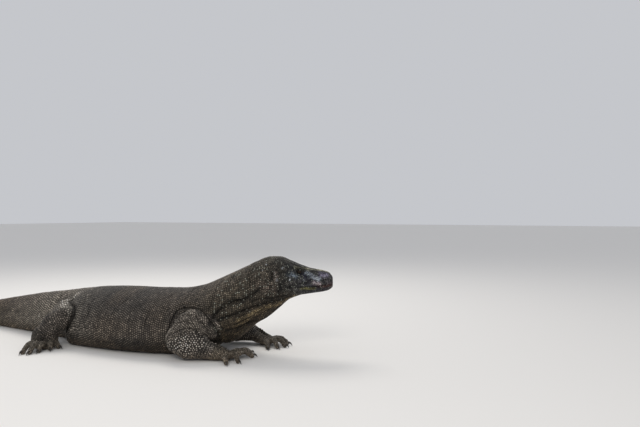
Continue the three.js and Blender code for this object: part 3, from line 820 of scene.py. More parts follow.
# colour: the animal's own pattern with painted light and shade, the same on skin and scales
# at; colours of back, flank and belly, as red, green and blue from 0 to 255; some rows hold painted light and
# shade
bodyColours = [
    (-1850, 78, 70, 62, 74, 66, 57, 68, 60, 51),
    (-1000, 82, 74, 66, 80, 73, 64, 68, 62, 53),
    # painted sunlight: the tail base's rows at -480 and -340 are lightened
    (-480, 108, 101, 92, 113, 106, 96, 74, 68, 60),
    (-340, 98, 92, 84, 102, 96, 88, 62, 57, 50),
    # painted shade: the trunk's rows from -200 to 300 are darkened, their belly colours near black for the
    # shade under the body
    (-200, 66, 62, 57, 90, 85, 78, 46, 42, 37),
    (0, 52, 48, 44, 70, 65, 59, 18, 17, 15),
    (300, 68, 62, 56, 72, 66, 59, 23, 21, 19),
    (500, 80, 73, 64, 76, 69, 58, 58, 49, 38),
    (640, 70, 65, 57, 68, 62, 54, 60, 50, 37),
    (740, 54, 52, 48, 49, 47, 44, 42, 35, 20),
    (850, 46, 46, 45, 41, 41, 44, 40, 33, 17),
    (928, 56, 54, 55, 54, 48, 50, 44, 38, 28),
]
limbColours = {
    "upper": (100, 93, 85), "lower": (88, 83, 77), "palm": (82, 77, 69), "digit": (88, 83, 75),
    "thigh": (98, 92, 84), "shank": (76, 70, 64), "foot": (66, 61, 55),
}
throatColour = (66, 57, 44)
markingValues = {
    "paleSpot": (156, 158, 146),
    "dust": (122, 104, 84),
    "mottle": 0.16,
    # how dark the painted shade in hollows is
    "foldDark": 0.6,
}
# folds darkened along their lines by painted shade and dirt: width in millimetres and how dark
darkFolds = {
    "neckCrease": (11, 0.86), "armFold": (7, 0.7), "flankEdge": (8, 0.7), "throatGroove": (9, 0.84),
    "throatGrooveLow": (9, 0.82), "throatGrooveFine": (4.5, 0.55), "armArcOne": (3.5, 0.45),
    "armArcTwo": (3.5, 0.4), "capEdge": (4.5, 0.5), "jawFoldOne": (6.5, 0.65), "jawFoldTwo": (4, 0.4),
    "mouth": (2.6, 0.85), "ear": (4.6, 0.95),
    "mouthCorner": (3.5, 0.5), "hipFold": (5, 0.4),
}
# centre, radius and darkness of painted shade where the wrists fold and under the fold over the arm
paintedShadePatches = [((484, -149, 45), 26, 0.6), ((448, 300, 45), 26, 0.5), ((446, -126, 190), 30, 0.45),
               ((482, -108, 134), 36, 0.4), ((400, 172, 194), 30, 0.45), ((452, 150, 134), 36, 0.4)]
# strokes on both sides, of colour and of painted light and shade: width in millimetres, colour, strength,
# then places along, out and up
strokesOfColourAndLight = [
    # painted light: the brow ridge lit pale olive from above
    (11, (138, 134, 102), 0.6, (774, 58, 382), (788, 50, 384), (802, 44, 379), (816, 38, 374)),
    # painted highlight along the top edge of the snout
    (6.5, (196, 191, 160), 0.7, (824, 26, 372), (838, 20, 369), (858, 14, 366), (880, 8, 362), (900, 8, 355)),
    # painted sheen: a pale bluish reflection streak on the side of the snout
    (8, (186, 196, 210), 0.8, (818, 52, 351), (835, 51, 340), (850, 48, 333), (866, 46, 327)),
    # painted shade in the hollow on the side of the snout
    (9, (18, 18, 34), 0.9, (800, 58, 347), (816, 54, 337), (828, 54, 329), (844, 52, 320)),
    # painted sheen: a lavender reflection on the front of the snout
    (11, (122, 117, 138), 0.7, (876, 38, 345), (888, 35, 342), (898, 28, 344)),
    # painted highlight: a pale pinkish sheen above the upper lip
    (7, (170, 155, 157), 0.62, (846, 50, 311), (860, 48, 308), (874, 46, 305)),
    (6, (76, 50, 44), 0.7, (866, 45, 296), (884, 42, 296), (904, 35, 298), (920, 24, 300)),
    (7, (108, 104, 62), 0.65, (796, 63, 285), (812, 58, 287), (831, 52, 285), (848, 48, 286)),
    # painted shadow behind the eye, under the brow
    (14, (28, 29, 33), 0.65, (734, 62, 384), (752, 61, 377), (770, 64, 368)),
    (11, (86, 96, 106), 0.6, (744, 73, 350), (759, 69, 347), (775, 66, 341)),
    (9, (132, 120, 114), 0.55, (689, 82, 354), (691, 80, 342), (691, 84, 330)),
    (20, (110, 97, 88), 0.4, (640, 88, 300), (661, 88, 295), (684, 82, 290)),
    # painted light on the tops of the throat's two ridges
    (7, (138, 120, 88), 0.62, (766, 35, 254), (717, 46, 230), (667, 68, 216), (622, 78, 200),
     (584, 85, 176), (547, 97, 160)),
    (6, (124, 107, 79), 0.52, (716, 37, 224), (659, 66, 203), (609, 75, 175), (564, 85, 146),
     (516, 100, 122)),
    # painted sunlight on the crest over the hip
    (20, (184, 176, 164), 0.55, (-322, 82, 218), (-338, 112, 203), (-306, 160, 190), (-284, 184, 180)),
    # painted light on the pale ridge of the fold over the upper arm
    (8, (128, 120, 110), 0.45, (317, 226, 97), (326, 214, 128), (360, 217, 147), (393, 203, 151),
     (420, 188, 142)),
]
# round spots on both sides: colour, strength, radius, then their places
colourSpots = [
    ((186, 192, 196), 0.55, 7, (718, 71, 374), (708, 77, 358), (749, 74, 325), (696, 83, 326), (684, 82, 358),
     (636, 78, 366), (652, 60, 388), (806, 60, 322)),
    ((20, 20, 18), 0.75, 11, (728, 82, 326), (752, 80, 302), (708, 86, 307), (713, 84, 288), (838, 53, 324)),
]


def linear(colour):
    # display colour from 0 to 255 to linear light
    c = np.asarray(colour, float) / 255
    return np.where(c <= 0.04045, c / 12.92, ((c + 0.055) / 1.055) ** 2.4)


def mixed(a, b, share):
    return a * (1 - share)[:, None] + b * share[:, None]


def ramp(x, start, end):
    t = np.clip((x - start) / (end - start), 0, 1)
    return t * t * (3 - 2 * t)


def curveDistance(points, name):
    # distance from the nearer of a feature's two traced curves, or very far
    best = np.full(len(points), 1e9)
    for dense in traced[name]:
        near = np.flatnonzero(((points > dense.min(0) - 25) & (points < dense.max(0) + 25)).all(1))
        if len(near):
            away = np.linalg.norm(points[near][:, None] - dense[None], axis=2).min(1)
            best[near] = np.minimum(best[near], away)
    return best


def strokeDistance(points, curve):
    # distance from the nearer of a curve's two places on the skin, right and left, or very far
    curve, best = np.array(curve, float), np.full(len(points), 1e9)
    for way in (-1, 1):
        dense = catmullRom(bodyPoint(curve[:, 0], way * curve[:, 1], curve[:, 2]), np.linspace(0, 1, 40))
        near = np.flatnonzero(((points > dense.min(0) - 45) & (points < dense.max(0) + 45)).all(1))
        away = np.linalg.norm(points[near][:, None] - dense[None], axis=2).min(1)
        best[near] = np.minimum(best[near], away)
    return best


def nearCurve(points, name, width):
    # 1 on a feature's curve, falling off as exp(-(d/w)^2)
    return np.exp(-(curveDistance(points, name) / width) ** 2)


def markingsAndPaintedLight(points, limb):
    # linear colour at points; limb holds each point's limb colour, or -1 where it is on the body or throat
    at, left = bodyPlace(points)
    colours = linear(smoothColumns(bodyColours, at))
    shape = smoothColumns(bodyRows, at)
    top, widest, half = shape[:, 1], shape[:, 3], shape[:, 4]
    rise = np.where(points[:, 2] > widest, (points[:, 2] - widest) / np.maximum(top - widest, 1),
                    (points[:, 2] - widest) / np.maximum(widest - 12, 1))
    colour = mixed(colours[:, 3:6], colours[:, 0:3], ramp(rise, 0.1, 0.9))
    pale = 1 - ramp(at, 420, 460) + ramp(at, 770, 810)
    colour = mixed(colour, colours[:, 6:9], ramp(-rise, 0.1, 0.85) * pale)
    onThroat = ramp(at, 420, 500) * (1 - ramp(at, 760, 820)) * ramp(-rise, 0.05, 0.5)
    colour = mixed(colour, linear(throatColour), onThroat)
    onLimb = limb >= 0
    palette = linear([limbColours[key] for key in limbColours])
    colour[onLimb] = palette[limb[onLimb]]
    onHead = ramp(at, 735, 765) * (1 - onLimb)
    # the strokes, some of them painted light and shade
    for width, tint, strength, *curve in strokesOfColourAndLight:
        colour = mixed(colour, linear(tint), strength * np.exp(-(strokeDistance(points, curve) / width) ** 2))
    for tint, strength, radius, *spots in colourSpots:
        for station, out, up in spots:
            for way in (-1, 1):
                spot = ball(points, bodyPoint(station, way * out, up), radius)
                colour = mixed(colour, linear(tint), strength * spot)
    # painted shade round the eyes: the skin round the lids is darkened
    around = sum(np.exp(-(np.linalg.norm(points - eyeMiddles[way], axis=1) / 17) ** 2) for way in (-1, 1))
    colour *= (1 - 0.62 * np.clip(around, 0, 1))[:, None]
    dust = ramp(-points[:, 2], -70, 0) * 0.2 + 0.12 * ramp(noise(points, 120, 8), 0, 0.8)
    colour = mixed(colour, linear(markingValues["dust"]), dust * (1 - onHead))
    for name, (width, dark) in darkFolds.items():
        colour *= (1 - dark * nearCurve(points, name, width))[:, None]
    # painted shade at the wrists and under the arm's fold
    for centre, radius, dark in paintedShadePatches:
        colour *= (1 - dark * ball(points, centre, radius))[:, None]
    mottle = noise(points, 95, 5) * 0.6 + noise(points, 34, 6) * 0.6 + noise(points, 13, 7) * 0.7
    return colour * (1 + markingValues["mottle"] * mottle)[:, None]


def foldDepth(points, faces):
    # how deep each vertex lies in a fold, from 0 to 1: how far the mean of its neighbours lies above it
    i, j = neighbours(faces)
    share = 1 / np.maximum(np.bincount(i, minlength=len(points)), 1)
    smooth = points
    for _ in range(6):
        smooth = gathered(i, smooth[j], len(points)) * share[:, None]
    return np.clip(((smooth - points) * normals).sum(1) / 1.6, 0, 1)


hollows = foldDepth(skin, triangles)
skinTree = BVHTree.FromPolygons(skin.tolist(), triangles.tolist())
report("hollows measured")

# scales: sites in rows across every form
coatValues = {
    "height": 0.27,           # of a scale, as a share of its width
    "toneSpread": 0.36,       # how much the scales' brightness varies
    "paleShare": 0.09,        # how many of them are pale,
    "spotShare": 0.09,        # and how many on the head and neck are spots
    "beadPitch": 10.0,
    "patch": 0.003,           # a scale's width on its map
    "rowStep": 0.87,          # from row to row, as a share of the pitch
    "fillerTries": 220000,
    "gap": 0.7,               # in pitches: how far apart scales stand, at least,
    "spacedGap": 0.84,        # beads set apart,
    "fillerGap": 0.76,        # and fillers,
    "bare": 0.74,             # and how far from a scale the skin is bare
}
limbPitch = {"upper": 7.4, "lower": 8.8, "palm": 6.4, "digit": 4.8, "thigh": 10.2, "shank": 8.8, "foot": 6.4}
bead, keeled, plate, spaced, face = range(5)


def bodyPitch(at, angle):
    # pitches along and across of the scales on the body, by place along and angle round
    height = np.sin(angle)
    knots = [-1850, -1500, -1100, -500, -380, 0, 300, 480, 640, 740, 800, 928]
    along = np.interp(at, knots, [5.2, 6.8, 10.0, 13.0, 12.6, 10.6, 9.6, 8.2, 7.4, 5.2, 4.3, 3.5])
    across = np.interp(at, knots, [4.2, 5.4, 7.8, 10.4, 10.6, 9.4, 8.8, 7.6, 7.0, 5.0, 4.2, 3.5])
    low = ramp(-height, 0.1, 0.7) * (1 - ramp(at, 420, 560))
    flank = ramp(height, -0.6, -0.1) * (1 - ramp(height, 0.1, 0.6)) * (at < 400)
    return along * (1 + 0.25 * low), across * (1 + 0.35 * low + 0.05 * flank)


def evenRing(place, around, weight, stagger):
    # angles that share out a ring by weighted arc length; place is the dense ring, closed by its first point
    arc = np.linalg.norm(np.diff(np.concatenate([place, place[:1]]), axis=0), axis=1) * weight
    total = np.concatenate([[0], np.cumsum(arc)])
    count = max(4, int(round(total[-1])))
    share = (np.arange(count) + stagger) / count
    return np.interp(share * total[-1], total, np.append(around, around[0] + 2 * np.pi)), share


siteParts = []


def addSites(place, outward, flow, along, across, kind, uv, region, limb, reach):
    # limb is the number of the limb's colour, or -1 on the body; reach is how far a site may be from the skin
    single = {"pitch": np.minimum(along, across), "size": np.sqrt(along * across), "kind": kind,
              "region": region, "limb": limb, "reach": reach}
    siteParts.append({"place": place, "outward": outward, "flow": flow, "uv": uv,
                      **{key: np.broadcast_to(value, len(place)) for key, value in single.items()}})


regionNames = ["tail_tip", "tail_middle", "tail_base", "trunk_rear_right", "trunk_rear_left",
               "trunk_front_right", "trunk_front_left", "neck", "head", "throat", *legs]
regionNumbers = {name: k for k, name in enumerate(regionNames)}
bodySpans = [("tail_tip", -1850, -1290), ("tail_middle", -1290, -880), ("tail_base", -880, -440),
             ("trunk_rear", -440, 20), ("trunk_front", 20, 452), ("neck", 452, 648), ("head", 648, 924.5)]
inset = -skinValues["coatDepth"]


def bodySites(rows, span, region, kindOf, pitchOf, reach, jitter):
    # rings of sites across the midline, every other one shifted by half a pitch
    at, turn = span[0] + 1.5, 0
    dense = np.arange(360) * 2 * np.pi / 360
    while at < span[1] - 0.5:
        columns = smoothColumns(rows, at)[:, -6:]
        left, up = sectionPoints(columns, dense[None], inset)
        along, across = pitchOf(at, dense)
        ring = bodyPoint(np.full(len(dense), at), left[0], up[0])
        angle, share = evenRing(ring, dense, 1 / across, 0.5 * (turn % 2))
        shift = np.median(across) / max(columns[0, 3], 5)
        angle = angle + randomSource.normal(0, jitter, len(angle)) * shift
        places = at + randomSource.normal(0, jitter, len(angle)) * np.median(along)
        place = bodyPoint(places, *sectionPlace(rows, places, angle, inset))
        tangent = bodyPoint(places, *sectionPlace(rows, places, angle + 0.02, inset)) - place
        heading = headingAt(places)
        flow = -np.stack([np.cos(heading), np.sin(heading), np.zeros(len(angle))], -1)
        along, across = pitchOf(places, angle)
        where = regionNumbers.get(region, 0)
        if region.startswith("trunk"):
            onLeft = np.cos(angle) > 0
            where = np.where(onLeft, regionNumbers[region + "_left"], regionNumbers[region + "_right"])
        uv = np.column_stack([0.01 + 0.98 * (places - span[0]) / (span[1] - span[0]), 0.01 + 0.98 * share])
        addSites(place, unit(np.cross(flow, tangent)), flow, along, across, kindOf(places, angle), uv,
                 where, -1, reach)
        at, turn = at + np.median(along) * coatValues["rowStep"], turn + 1


def limbSites(name, leg):
    # rings of sites round every sweep of a limb, bent over its rounded end
    front = name.startswith("front")
    sweeps = limbSweeps(leg)
    dense = np.arange(120) * 2 * np.pi / 120
    for k, (part, points, sizes) in enumerate(sweeps):
        digit = part.startswith("digit")
        hindNames = {"upper": "thigh", "lower": "shank", "palm": "foot"}
        key = "digit" if digit else part if front else hindNames[part]
        pitch, across = limbPitch[key], limbPitch[key] * (1.15 if digit else 1)
        length = np.linalg.norm(np.diff(catmullRom(points, np.linspace(0, 1, 60)), axis=0), axis=1).sum()
        endBend = np.linspace(0, 1.5, 5)[1:] if digit or part == "palm" else np.array([0.2])
        count = int(length / (pitch * coatValues["rowStep"]))
        t = np.concatenate([np.linspace(0, 1, count), np.ones(len(endBend))])
        bend = np.concatenate([np.zeros(count), endBend])
        band = (k + 0.06) / len(sweeps), (k + 0.94) / len(sweeps)
        centre, ahead, side, over, wide, high = sweepFrame(points, sizes, t)
        for r in range(len(t)):
            shrink, reach = math.cos(bend[r]), math.sin(bend[r]) * min(wide[r], high[r])
            w, h = (wide[r] + inset) * shrink, (high[r] + inset) * shrink

            def ring(angle):
                return centre[r] + ahead[r] * reach + side[r] * (np.cos(angle) * w)[:, None] \
                    + over[r] * (np.sin(angle) * h)[:, None]
            angle, share = evenRing(ring(dense), dense, 1 / across, 0.5 * (r % 2))
            angle = angle + randomSource.normal(0, 0.08, len(angle)) * pitch / max(w, 5)
            place = ring(angle) + ahead[r] * randomSource.normal(0, 0.08 * pitch, len(angle))[:, None]
            flow = np.broadcast_to(ahead[r] * math.cos(bend[r]) - 0.01, place.shape)
            outward = side[r] * np.cos(angle)[:, None] * h + over[r] * np.sin(angle)[:, None] * w
            outward = unit(shrink * outward / max(w, h, 1e-6) + ahead[r] * math.sin(bend[r]))
            uv = np.column_stack([np.full(len(angle), 0.02 + 0.96 * r / len(t)),
                                  band[0] + (band[1] - band[0]) * share])
            addSites(place, outward, flow, pitch, across, bead, uv, regionNumbers[name],
                     list(limbColours).index(key), 10 if digit else 16)


# where the fore limbs carry large beads set apart: middle, outward direction and reach of the patch
beadPatches = {
    "front_right": ((436, -186, 88), (0.34, -0.72, 0.6), 66),
    "front_left": ((404, 286, 88), (0.1, 0.8, 0.6), 66),
}


def beadSites(name, middle, outward, reach):
    # a hexagonal net wrapped on a ball behind the patch: ring r of the net lies at the angle r pitch / radius
    outward = np.array(outward) / np.linalg.norm(outward)
    ahead = np.array(legs[name]["ankle"][0], float) - np.array(legs[name]["hinge"][0], float)
    flow = unit(ahead - outward * (ahead @ outward))
    cross = np.cross(outward, flow)
    pitch, ballRadius = coatValues["beadPitch"], 70
    i, j = np.meshgrid(np.arange(-12, 13), np.arange(-12, 13), indexing="ij")
    x, y = (i * 0.866 * pitch).ravel(), ((j + 0.5 * (i % 2)) * pitch).ravel()
    x, y = x + randomSource.normal(0, 0.45, x.shape), y + randomSource.normal(0, 0.45, y.shape)
    away = np.hypot(x, y)
    edge = reach * (1 + 0.12 * np.sin(3 * np.arctan2(y, x)))
    x, y, away = [v[away < edge] for v in (x, y, away)]
    turn = (away / ballRadius)[:, None]
    level = (x[:, None] * flow + y[:, None] * cross) / np.maximum(away, 1e-6)[:, None]
    normal = outward * np.cos(turn) + level * np.sin(turn)
    uv = np.column_stack([0.5 + x / 2400, 0.5 + y / 2400])
    addSites(np.array(middle) + ballRadius * (normal - outward), normal, np.broadcast_to(flow, normal.shape),
             pitch, pitch, spaced, uv, regionNumbers[name], list(limbColours).index("lower"), 30)


def lipSites():
    # larger plates in a row above and below the line of the mouth, one behind another
    for dense, share in zip(traced["mouth"], (0.51, 0.985)):
        total = np.concatenate([[0], np.cumsum(np.linalg.norm(np.diff(dense, axis=0), axis=1))])
        for height, pitch in ((3.5, 6.4), (-3.6, 6.8)):
            stops = np.arange(10, total[-1] - 2, pitch)
            line = np.stack([np.interp(stops, total, dense[:, k]) for k in range(3)], -1)
            flow = -unit(np.gradient(line, axis=0))
            place = line + [0, 0, height]
            outward = np.array([skinTree.find_nearest(p)[1] for p in place.tolist()])
            uv = np.column_stack([0.01 + 0.98 * (bodyPlace(place)[0] - 648) / 278.5,
                                  np.full(len(place), share + 0.0015 * height)])
            addSites(place, outward, flow, pitch, 5.2, plate, uv, regionNumbers["head"], -1, 8)


def tailKind(at, angle):
    return np.where(np.sin(angle) < -0.55, plate, keeled)


def bodyKind(at, angle):
    return np.where((np.sin(angle) < -0.6) & (at < 420), plate, np.where(at > 745, face, bead))


lipSites()
for name, patch in beadPatches.items():
    beadSites(name, *patch)
for region, start, end in bodySpans:
    tail = region.startswith("tail")
    bodySites(bodyRows, (start, end), region, tailKind if tail else bodyKind, bodyPitch,
              27 if region in ("head", "neck") else 16, 0.04 if tail else 0.16 if region == "head" else 0.05)
bodySites(throatRows, (416, 799), "throat", lambda at, angle: bead, lambda at, angle: (6.0, 5.6), 14, 0.12)
for name, leg in legs.items():
    limbSites(name, leg)
site = {key: np.concatenate([part[key] for part in siteParts]) for key in siteParts[0]}
report(f"{len(site['place'])} sites")


def onSkin(places, reaches):
    # nearest places on the skin with smooth normals: foot, normal, hollow, and whether one lies within reach
    hits = [skinTree.find_nearest(p, r) for p, r in zip(places.tolist(), reaches.tolist())]
    found = np.array([hit[0] is not None for hit in hits])
    foot = np.array([hit[0] if hit[0] is not None else (0, 0, 0) for hit in hits], float)
    face = np.array([hit[2] if hit[0] is not None else 0 for hit in hits])
    a, b, c = [skin[triangles[face, k]] for k in range(3)]
    full = np.linalg.norm(np.cross(b - a, c - a), axis=1) + 1e-12
    wb = np.linalg.norm(np.cross(foot - a, c - a), axis=1) / full
    wc = np.linalg.norm(np.cross(b - a, foot - a), axis=1) / full
    weights = np.stack([1 - wb - wc, wb, wc], -1)
    normal = (normals[triangles[face]] * weights[:, :, None]).sum(1)
    hollow = (hollows[triangles[face]] * weights).sum(1)
    return foot, unit(normal), hollow, found


def treeOf(points):
    tree = KDTree(len(points))
    for k, p in enumerate(points.tolist()):
        tree.insert(p, k)
    tree.balance()
    return tree


def thinned(feet, radii):
    # keeps the first of any two feet that are nearer than the first one's radius
    tree = treeOf(feet)
    alive = np.ones(len(feet), bool)
    for k, (p, r) in enumerate(zip(feet.tolist(), radii.tolist())):
        if alive[k]:
            for _, other, _ in tree.find_range(p, r):
                if other > k:
                    alive[other] = False
    return alive


def openings(feet):
    # true where an opening is: inside the lids, along the mouth, in the nostrils and in the ear slits
    inside = (curveDistance(feet, "mouth") < 1.5) | (curveDistance(feet, "ear") < 3.0)
    for way in (-1, 1):
        ahead, up, _, _ = lidSpace(feet, way)
        q = np.hypot(ahead / (lidValues["halfLength"] + 1), up / (lidValues["halfHeight"] + 1))
        inside |= (q < 1) & (np.linalg.norm(feet - eyeMiddles[way], axis=1) < 25)
        away = (feet - bodyPoint(nostril[0], way * nostril[1], nostril[2])) / [6.5, 6.5, 4.4]
        inside |= (away ** 2).sum(1) < 0.8
    return inside


feet, footNormals, footHollows, found = onSkin(site["place"], site["reach"])
room = np.where(site["kind"] == spaced, coatValues["spacedGap"], coatValues["gap"]) * site["pitch"]
keep = np.flatnonzero(found & ((footNormals * site["outward"]).sum(1) > 0.35) & ~openings(feet))
keep = keep[thinned(feet[keep], room[keep])]
site = {key: values[keep] for key, values in site.items()}
feet, footNormals, footHollows = feet[keep], footNormals[keep], footHollows[keep]
report(f"{len(feet)} scales in rows")

# bare places between the rows are filled from random places on the skin, closer where scales are small
tree = treeOf(feet)
a, b, c = [skin[triangles[:, k]] for k in range(3)]
owner = np.array([tree.find(p)[1] for p in skin[triangles].mean(1).tolist()])
weight = np.linalg.norm(np.cross(b - a, c - a), axis=1) / site["pitch"][owner] ** 2
chosen = randomSource.choice(len(triangles), coatValues["fillerTries"], p=weight / weight.sum())
u, v = randomSource.random((2, len(chosen)))
u, v = [np.where(u + v > 1, 1 - w, w)[:, None] for w in (u, v)]
extra = a[chosen] + u * (b - a)[chosen] + v * (c - a)[chosen]
nearest = [tree.find(p)[1:] for p in extra.tolist()]
parent = np.array([k for k, _ in nearest])
bare = np.array([away for _, away in nearest]) > coatValues["bare"] * site["pitch"][parent]
extra, parent = extra[bare], parent[bare]
clear = ~openings(extra)
extra, parent = extra[clear], parent[clear]
keep = thinned(extra, coatValues["fillerGap"] * site["pitch"][parent])
extra, parent = extra[keep], parent[keep]
extraFeet, extraNormals, extraHollows, _ = onSkin(extra, np.full(len(extra), 5.0))
site = {key: np.concatenate([values, values[parent]]) for key, values in site.items()}
site["uv"][len(feet):] += randomSource.uniform(-0.004, 0.004, (len(extra), 2))
feet = np.concatenate([feet, extraFeet])
footNormals = np.concatenate([footNormals, extraNormals])
footHollows = np.concatenate([footHollows, extraHollows])
report(f"{len(feet)} scales, {len(extra)} of them fillers")

# scales: shapes
# for bead, keeled scale, plate, bead set apart and face scale: the foot as a share of the cell and at most
# of the pitch, the shoulder along and across, how high it lies, and where the crown stands and how high
shapeValues = np.array([
    (0.97, 0.62, 0.64, 0.64, 0.68, 0.02, 1.0),
    (0.97, 0.68, 0.74, 0.48, 0.66, 0.12, 1.1),
    (0.97, 0.70, 0.76, 0.76, 0.68, 0.00, 0.85),
    (0.97, 0.37, 0.76, 0.76, 0.68, 0.02, 1.05),
    (0.97, 0.66, 0.78, 0.78, 0.64, 0.00, 0.9),
])
corners = 8
cornerAngle = np.arange(corners) * 2 * np.pi / corners
k = np.arange(corners)
j = (k + 1) % corners
scaleFaces = np.concatenate([np.stack([k, j, j + corners], -1), np.stack([k, j + corners, k + corners], -1),
                             np.stack([k + corners, j + corners, np.full(corners, 2 * corners)], -1)])

flows = unit(site["flow"] - footNormals * (site["flow"] * footNormals).sum(1)[:, None])
crosses = np.cross(footNormals, flows)


def cellRadii():
    # how far each scale reaches in a direction: to the bisectors with its neighbours, d^2 / (2 d.direction)
    tree = treeOf(feet)
    near = np.array([[hit[1] for hit in tree.find_n(p, 9)] for p in feet.tolist()])
    own = np.repeat(np.arange(len(feet))[:, None], 9, 1)
    away = feet[near] - feet[:, None]
    x, y = (away * flows[:, None]).sum(2), (away * crosses[:, None]).sum(2)
    ignored = (near == own) | ((footNormals[near] * footNormals[:, None]).sum(2) < 0.3)
    limit = shapeValues[site["kind"], 1] * site["size"]
    radii = np.empty((len(feet), corners))
    for turn, angle in enumerate(cornerAngle):
        facing = x * math.cos(angle) + y * math.sin(angle)
        reach = np.where(ignored, limit[:, None], (x * x + y * y) / 2 / np.maximum(facing, 1e-3))
        radii[:, turn] = np.minimum(reach.min(1), limit)
    return radii


cells = cellRadii()
report("cells measured")


def buildScales(name, chosen, colours):
    # every scale of a piece at once: foot, shoulder and crown laid on the skin's normal, flow and cross axes
    foot, normal, flow, cross = [part[chosen][:, None] for part in (feet, footNormals, flows, crosses)]
    n = len(chosen)
    share, _, longer, wider, lift, crownAt, crownUp = shapeValues[site["kind"][chosen]].T[..., None]
    radii = cells[chosen] * share
    c, s = np.cos(cornerAngle), np.sin(cornerAngle)
    girth = radii.mean(1, keepdims=True)
    x = np.concatenate([c * radii, c * radii * longer, crownAt * girth], 1)
    y = np.concatenate([s * radii, s * radii * wider, 0 * girth], 1)
    ones = np.ones((n, corners))
    high = coatValues["height"] * 2 * girth * randomSource.uniform(0.85, 1.2, (n, 1))
    high = np.minimum(high, skinValues["coatDepth"] * 0.8)
    z = np.concatenate([-0.25 * ones, lift * ones, crownUp], 1) * high
    slant = randomSource.normal(0, 0.05, (2, n, 1))
    z = z + x * (0.03 + slant[0]) + y * slant[1]
    points = foot + flow * x[..., None] + cross * y[..., None] + normal * z[..., None]
    points[..., 2] = np.maximum(points[..., 2], 0.15)
    # painted shade on each scale's foot in the gaps and a painted highlight on its crown, on top of the tone
    shade = np.concatenate([np.full(corners, 0.03), np.full(corners, 0.85), [2.6]])
    tone = np.minimum(colours[chosen][:, None] * shade[None, :, None], 0.75)
    uv = site["uv"][chosen][:, None] + np.stack([x, y], -1) / (2 * girth[..., None]) * coatValues["patch"]
    count = 2 * corners + 1

    mesh = bpy.data.meshes.new(name)
    faces = (scaleFaces[None] + count * np.arange(n)[:, None, None]).reshape(-1, 3)
    mesh.vertices.add(count * n)
    mesh.vertices.foreach_set("co", (points.reshape(-1, 3) * mm + origin).astype(np.float32).ravel())
    mesh.loops.add(len(faces) * 3)
    mesh.loops.foreach_set("vertex_index", faces.astype(np.int32).ravel())
    mesh.polygons.add(len(faces))
    mesh.polygons.foreach_set("loop_start", np.arange(0, len(faces) * 3, 3, dtype=np.int32))
    mesh.update(calc_edges=True)
    mesh.shade_smooth()
    layer = mesh.uv_layers.new(name="OFBake")
    layer.data.foreach_set("uv", uv.reshape(-1, 2)[faces.ravel()].astype(np.float32).ravel())
    paint(mesh, tone.reshape(-1, 3))
    return addObject(name, mesh)


def paint(mesh, colours):
    layer = mesh.attributes.new("tone", "FLOAT_COLOR", "POINT")
    colours = np.column_stack([colours, np.ones(len(colours))])
    layer.data.foreach_set("color", colours.astype(np.float32).ravel())


scaleColours = markingsAndPaintedLight(feet, site["limb"])
count = len(feet)
onHead = np.isin(site["region"], [regionNumbers["head"], regionNumbers["throat"]])
apart = site["kind"] == spaced
calm = 1 - 0.25 * ((site["region"] < regionNumbers["neck"]) | apart)
tone = np.exp(coatValues["toneSpread"] * calm * randomSource.normal(0, 1, count))
tone *= np.exp(np.where(onHead, 0.8, 0.3 * calm) * noise(feet, 10, 31) + 0.3 * calm * noise(feet, 24, 32))
pale = randomSource.random(count) < coatValues["paleShare"] * calm
tone *= np.where(pale & ~apart, 1.4, 1) * np.where(apart, 3.0, 1)
# painted shade: scales are darker the deeper they sit in a hollow
scaleColours = scaleColours * tone[:, None] * (1 - markingValues["foldDark"] * footHollows)[:, None]
spotted = (randomSource.random(count) < coatValues["spotShare"]) \
    & np.isin(site["region"], [regionNumbers["head"], regionNumbers["neck"]])
scaleColours = mixed(scaleColours, linear(markingValues["paleSpot"]), 0.36 * spotted)

tree = treeOf(feet)
limbOf = site["limb"][[tree.find(p)[1] for p in skin.tolist()]]
# painted shade: the skin is darker the deeper it lies in a hollow
skinColours = markingsAndPaintedLight(skin, limbOf) * (1 - markingValues["foldDark"] * hollows)[:, None]
paint(skinPiece.data, skinColours)


# materials
def toneMaterial(name, **sockets):
    # the colour is the attribute tone; sockets are set by their names without spaces
    material = bpy.data.materials.new(name)
    material.use_nodes = True
    nodes, links = material.node_tree.nodes, material.node_tree.links
    shader, tone = nodes["Principled BSDF"], nodes.new("ShaderNodeAttribute")
    tone.attribute_name = "tone"
    links.new(tone.outputs["Color"], shader.inputs["Base Color"])
    for socket in shader.inputs:
        if socket.name.replace(" ", "") in sockets:
            socket.default_value = sockets[socket.name.replace(" ", "")]
    return material, nodes, links, shader, tone


def grainMaterial(name, grain, detail, share, rough, bump, depth, specular):
    # the tone times fine noise on Object coordinates, which also sets the roughness and the relief
    material, nodes, links, shader, tone = toneMaterial(name, SpecularIORLevel=specular)
    place, speckle = nodes.new("ShaderNodeTexCoord"), nodes.new("ShaderNodeTexNoise")
    speckle.inputs["Scale"].default_value, speckle.inputs["Detail"].default_value = grain, detail
    links.new(place.outputs["Object"], speckle.inputs["Vector"])
    spans = []
    for least, most in (share, rough):
        spans.append(nodes.new("ShaderNodeMapRange"))
        spans[-1].inputs["To Min"].default_value, spans[-1].inputs["To Max"].default_value = least, most
        links.new(speckle.outputs["Fac"], spans[-1].inputs["Value"])
    times, relief = nodes.new("ShaderNodeVectorMath"), nodes.new("ShaderNodeBump")
    times.operation = "SCALE"
    links.new(tone.outputs["Color"], times.inputs[0])
    links.new(spans[0].outputs["Result"], times.inputs["Scale"])
    links.new(times.outputs["Vector"], shader.inputs["Base Color"])
    links.new(spans[1].outputs["Result"], shader.inputs["Roughness"])
    relief.inputs["Strength"].default_value, relief.inputs["Distance"].default_value = bump, depth
    links.new(speckle.outputs["Fac"], relief.inputs["Height"])
    links.new(relief.outputs["Normal"], shader.inputs["Normal"])
    return material


scaleMaterial = grainMaterial("scales", 700, 4, (0.72, 1.28), (0.42, 0.66), 0.35, 0.0006, 0.24)
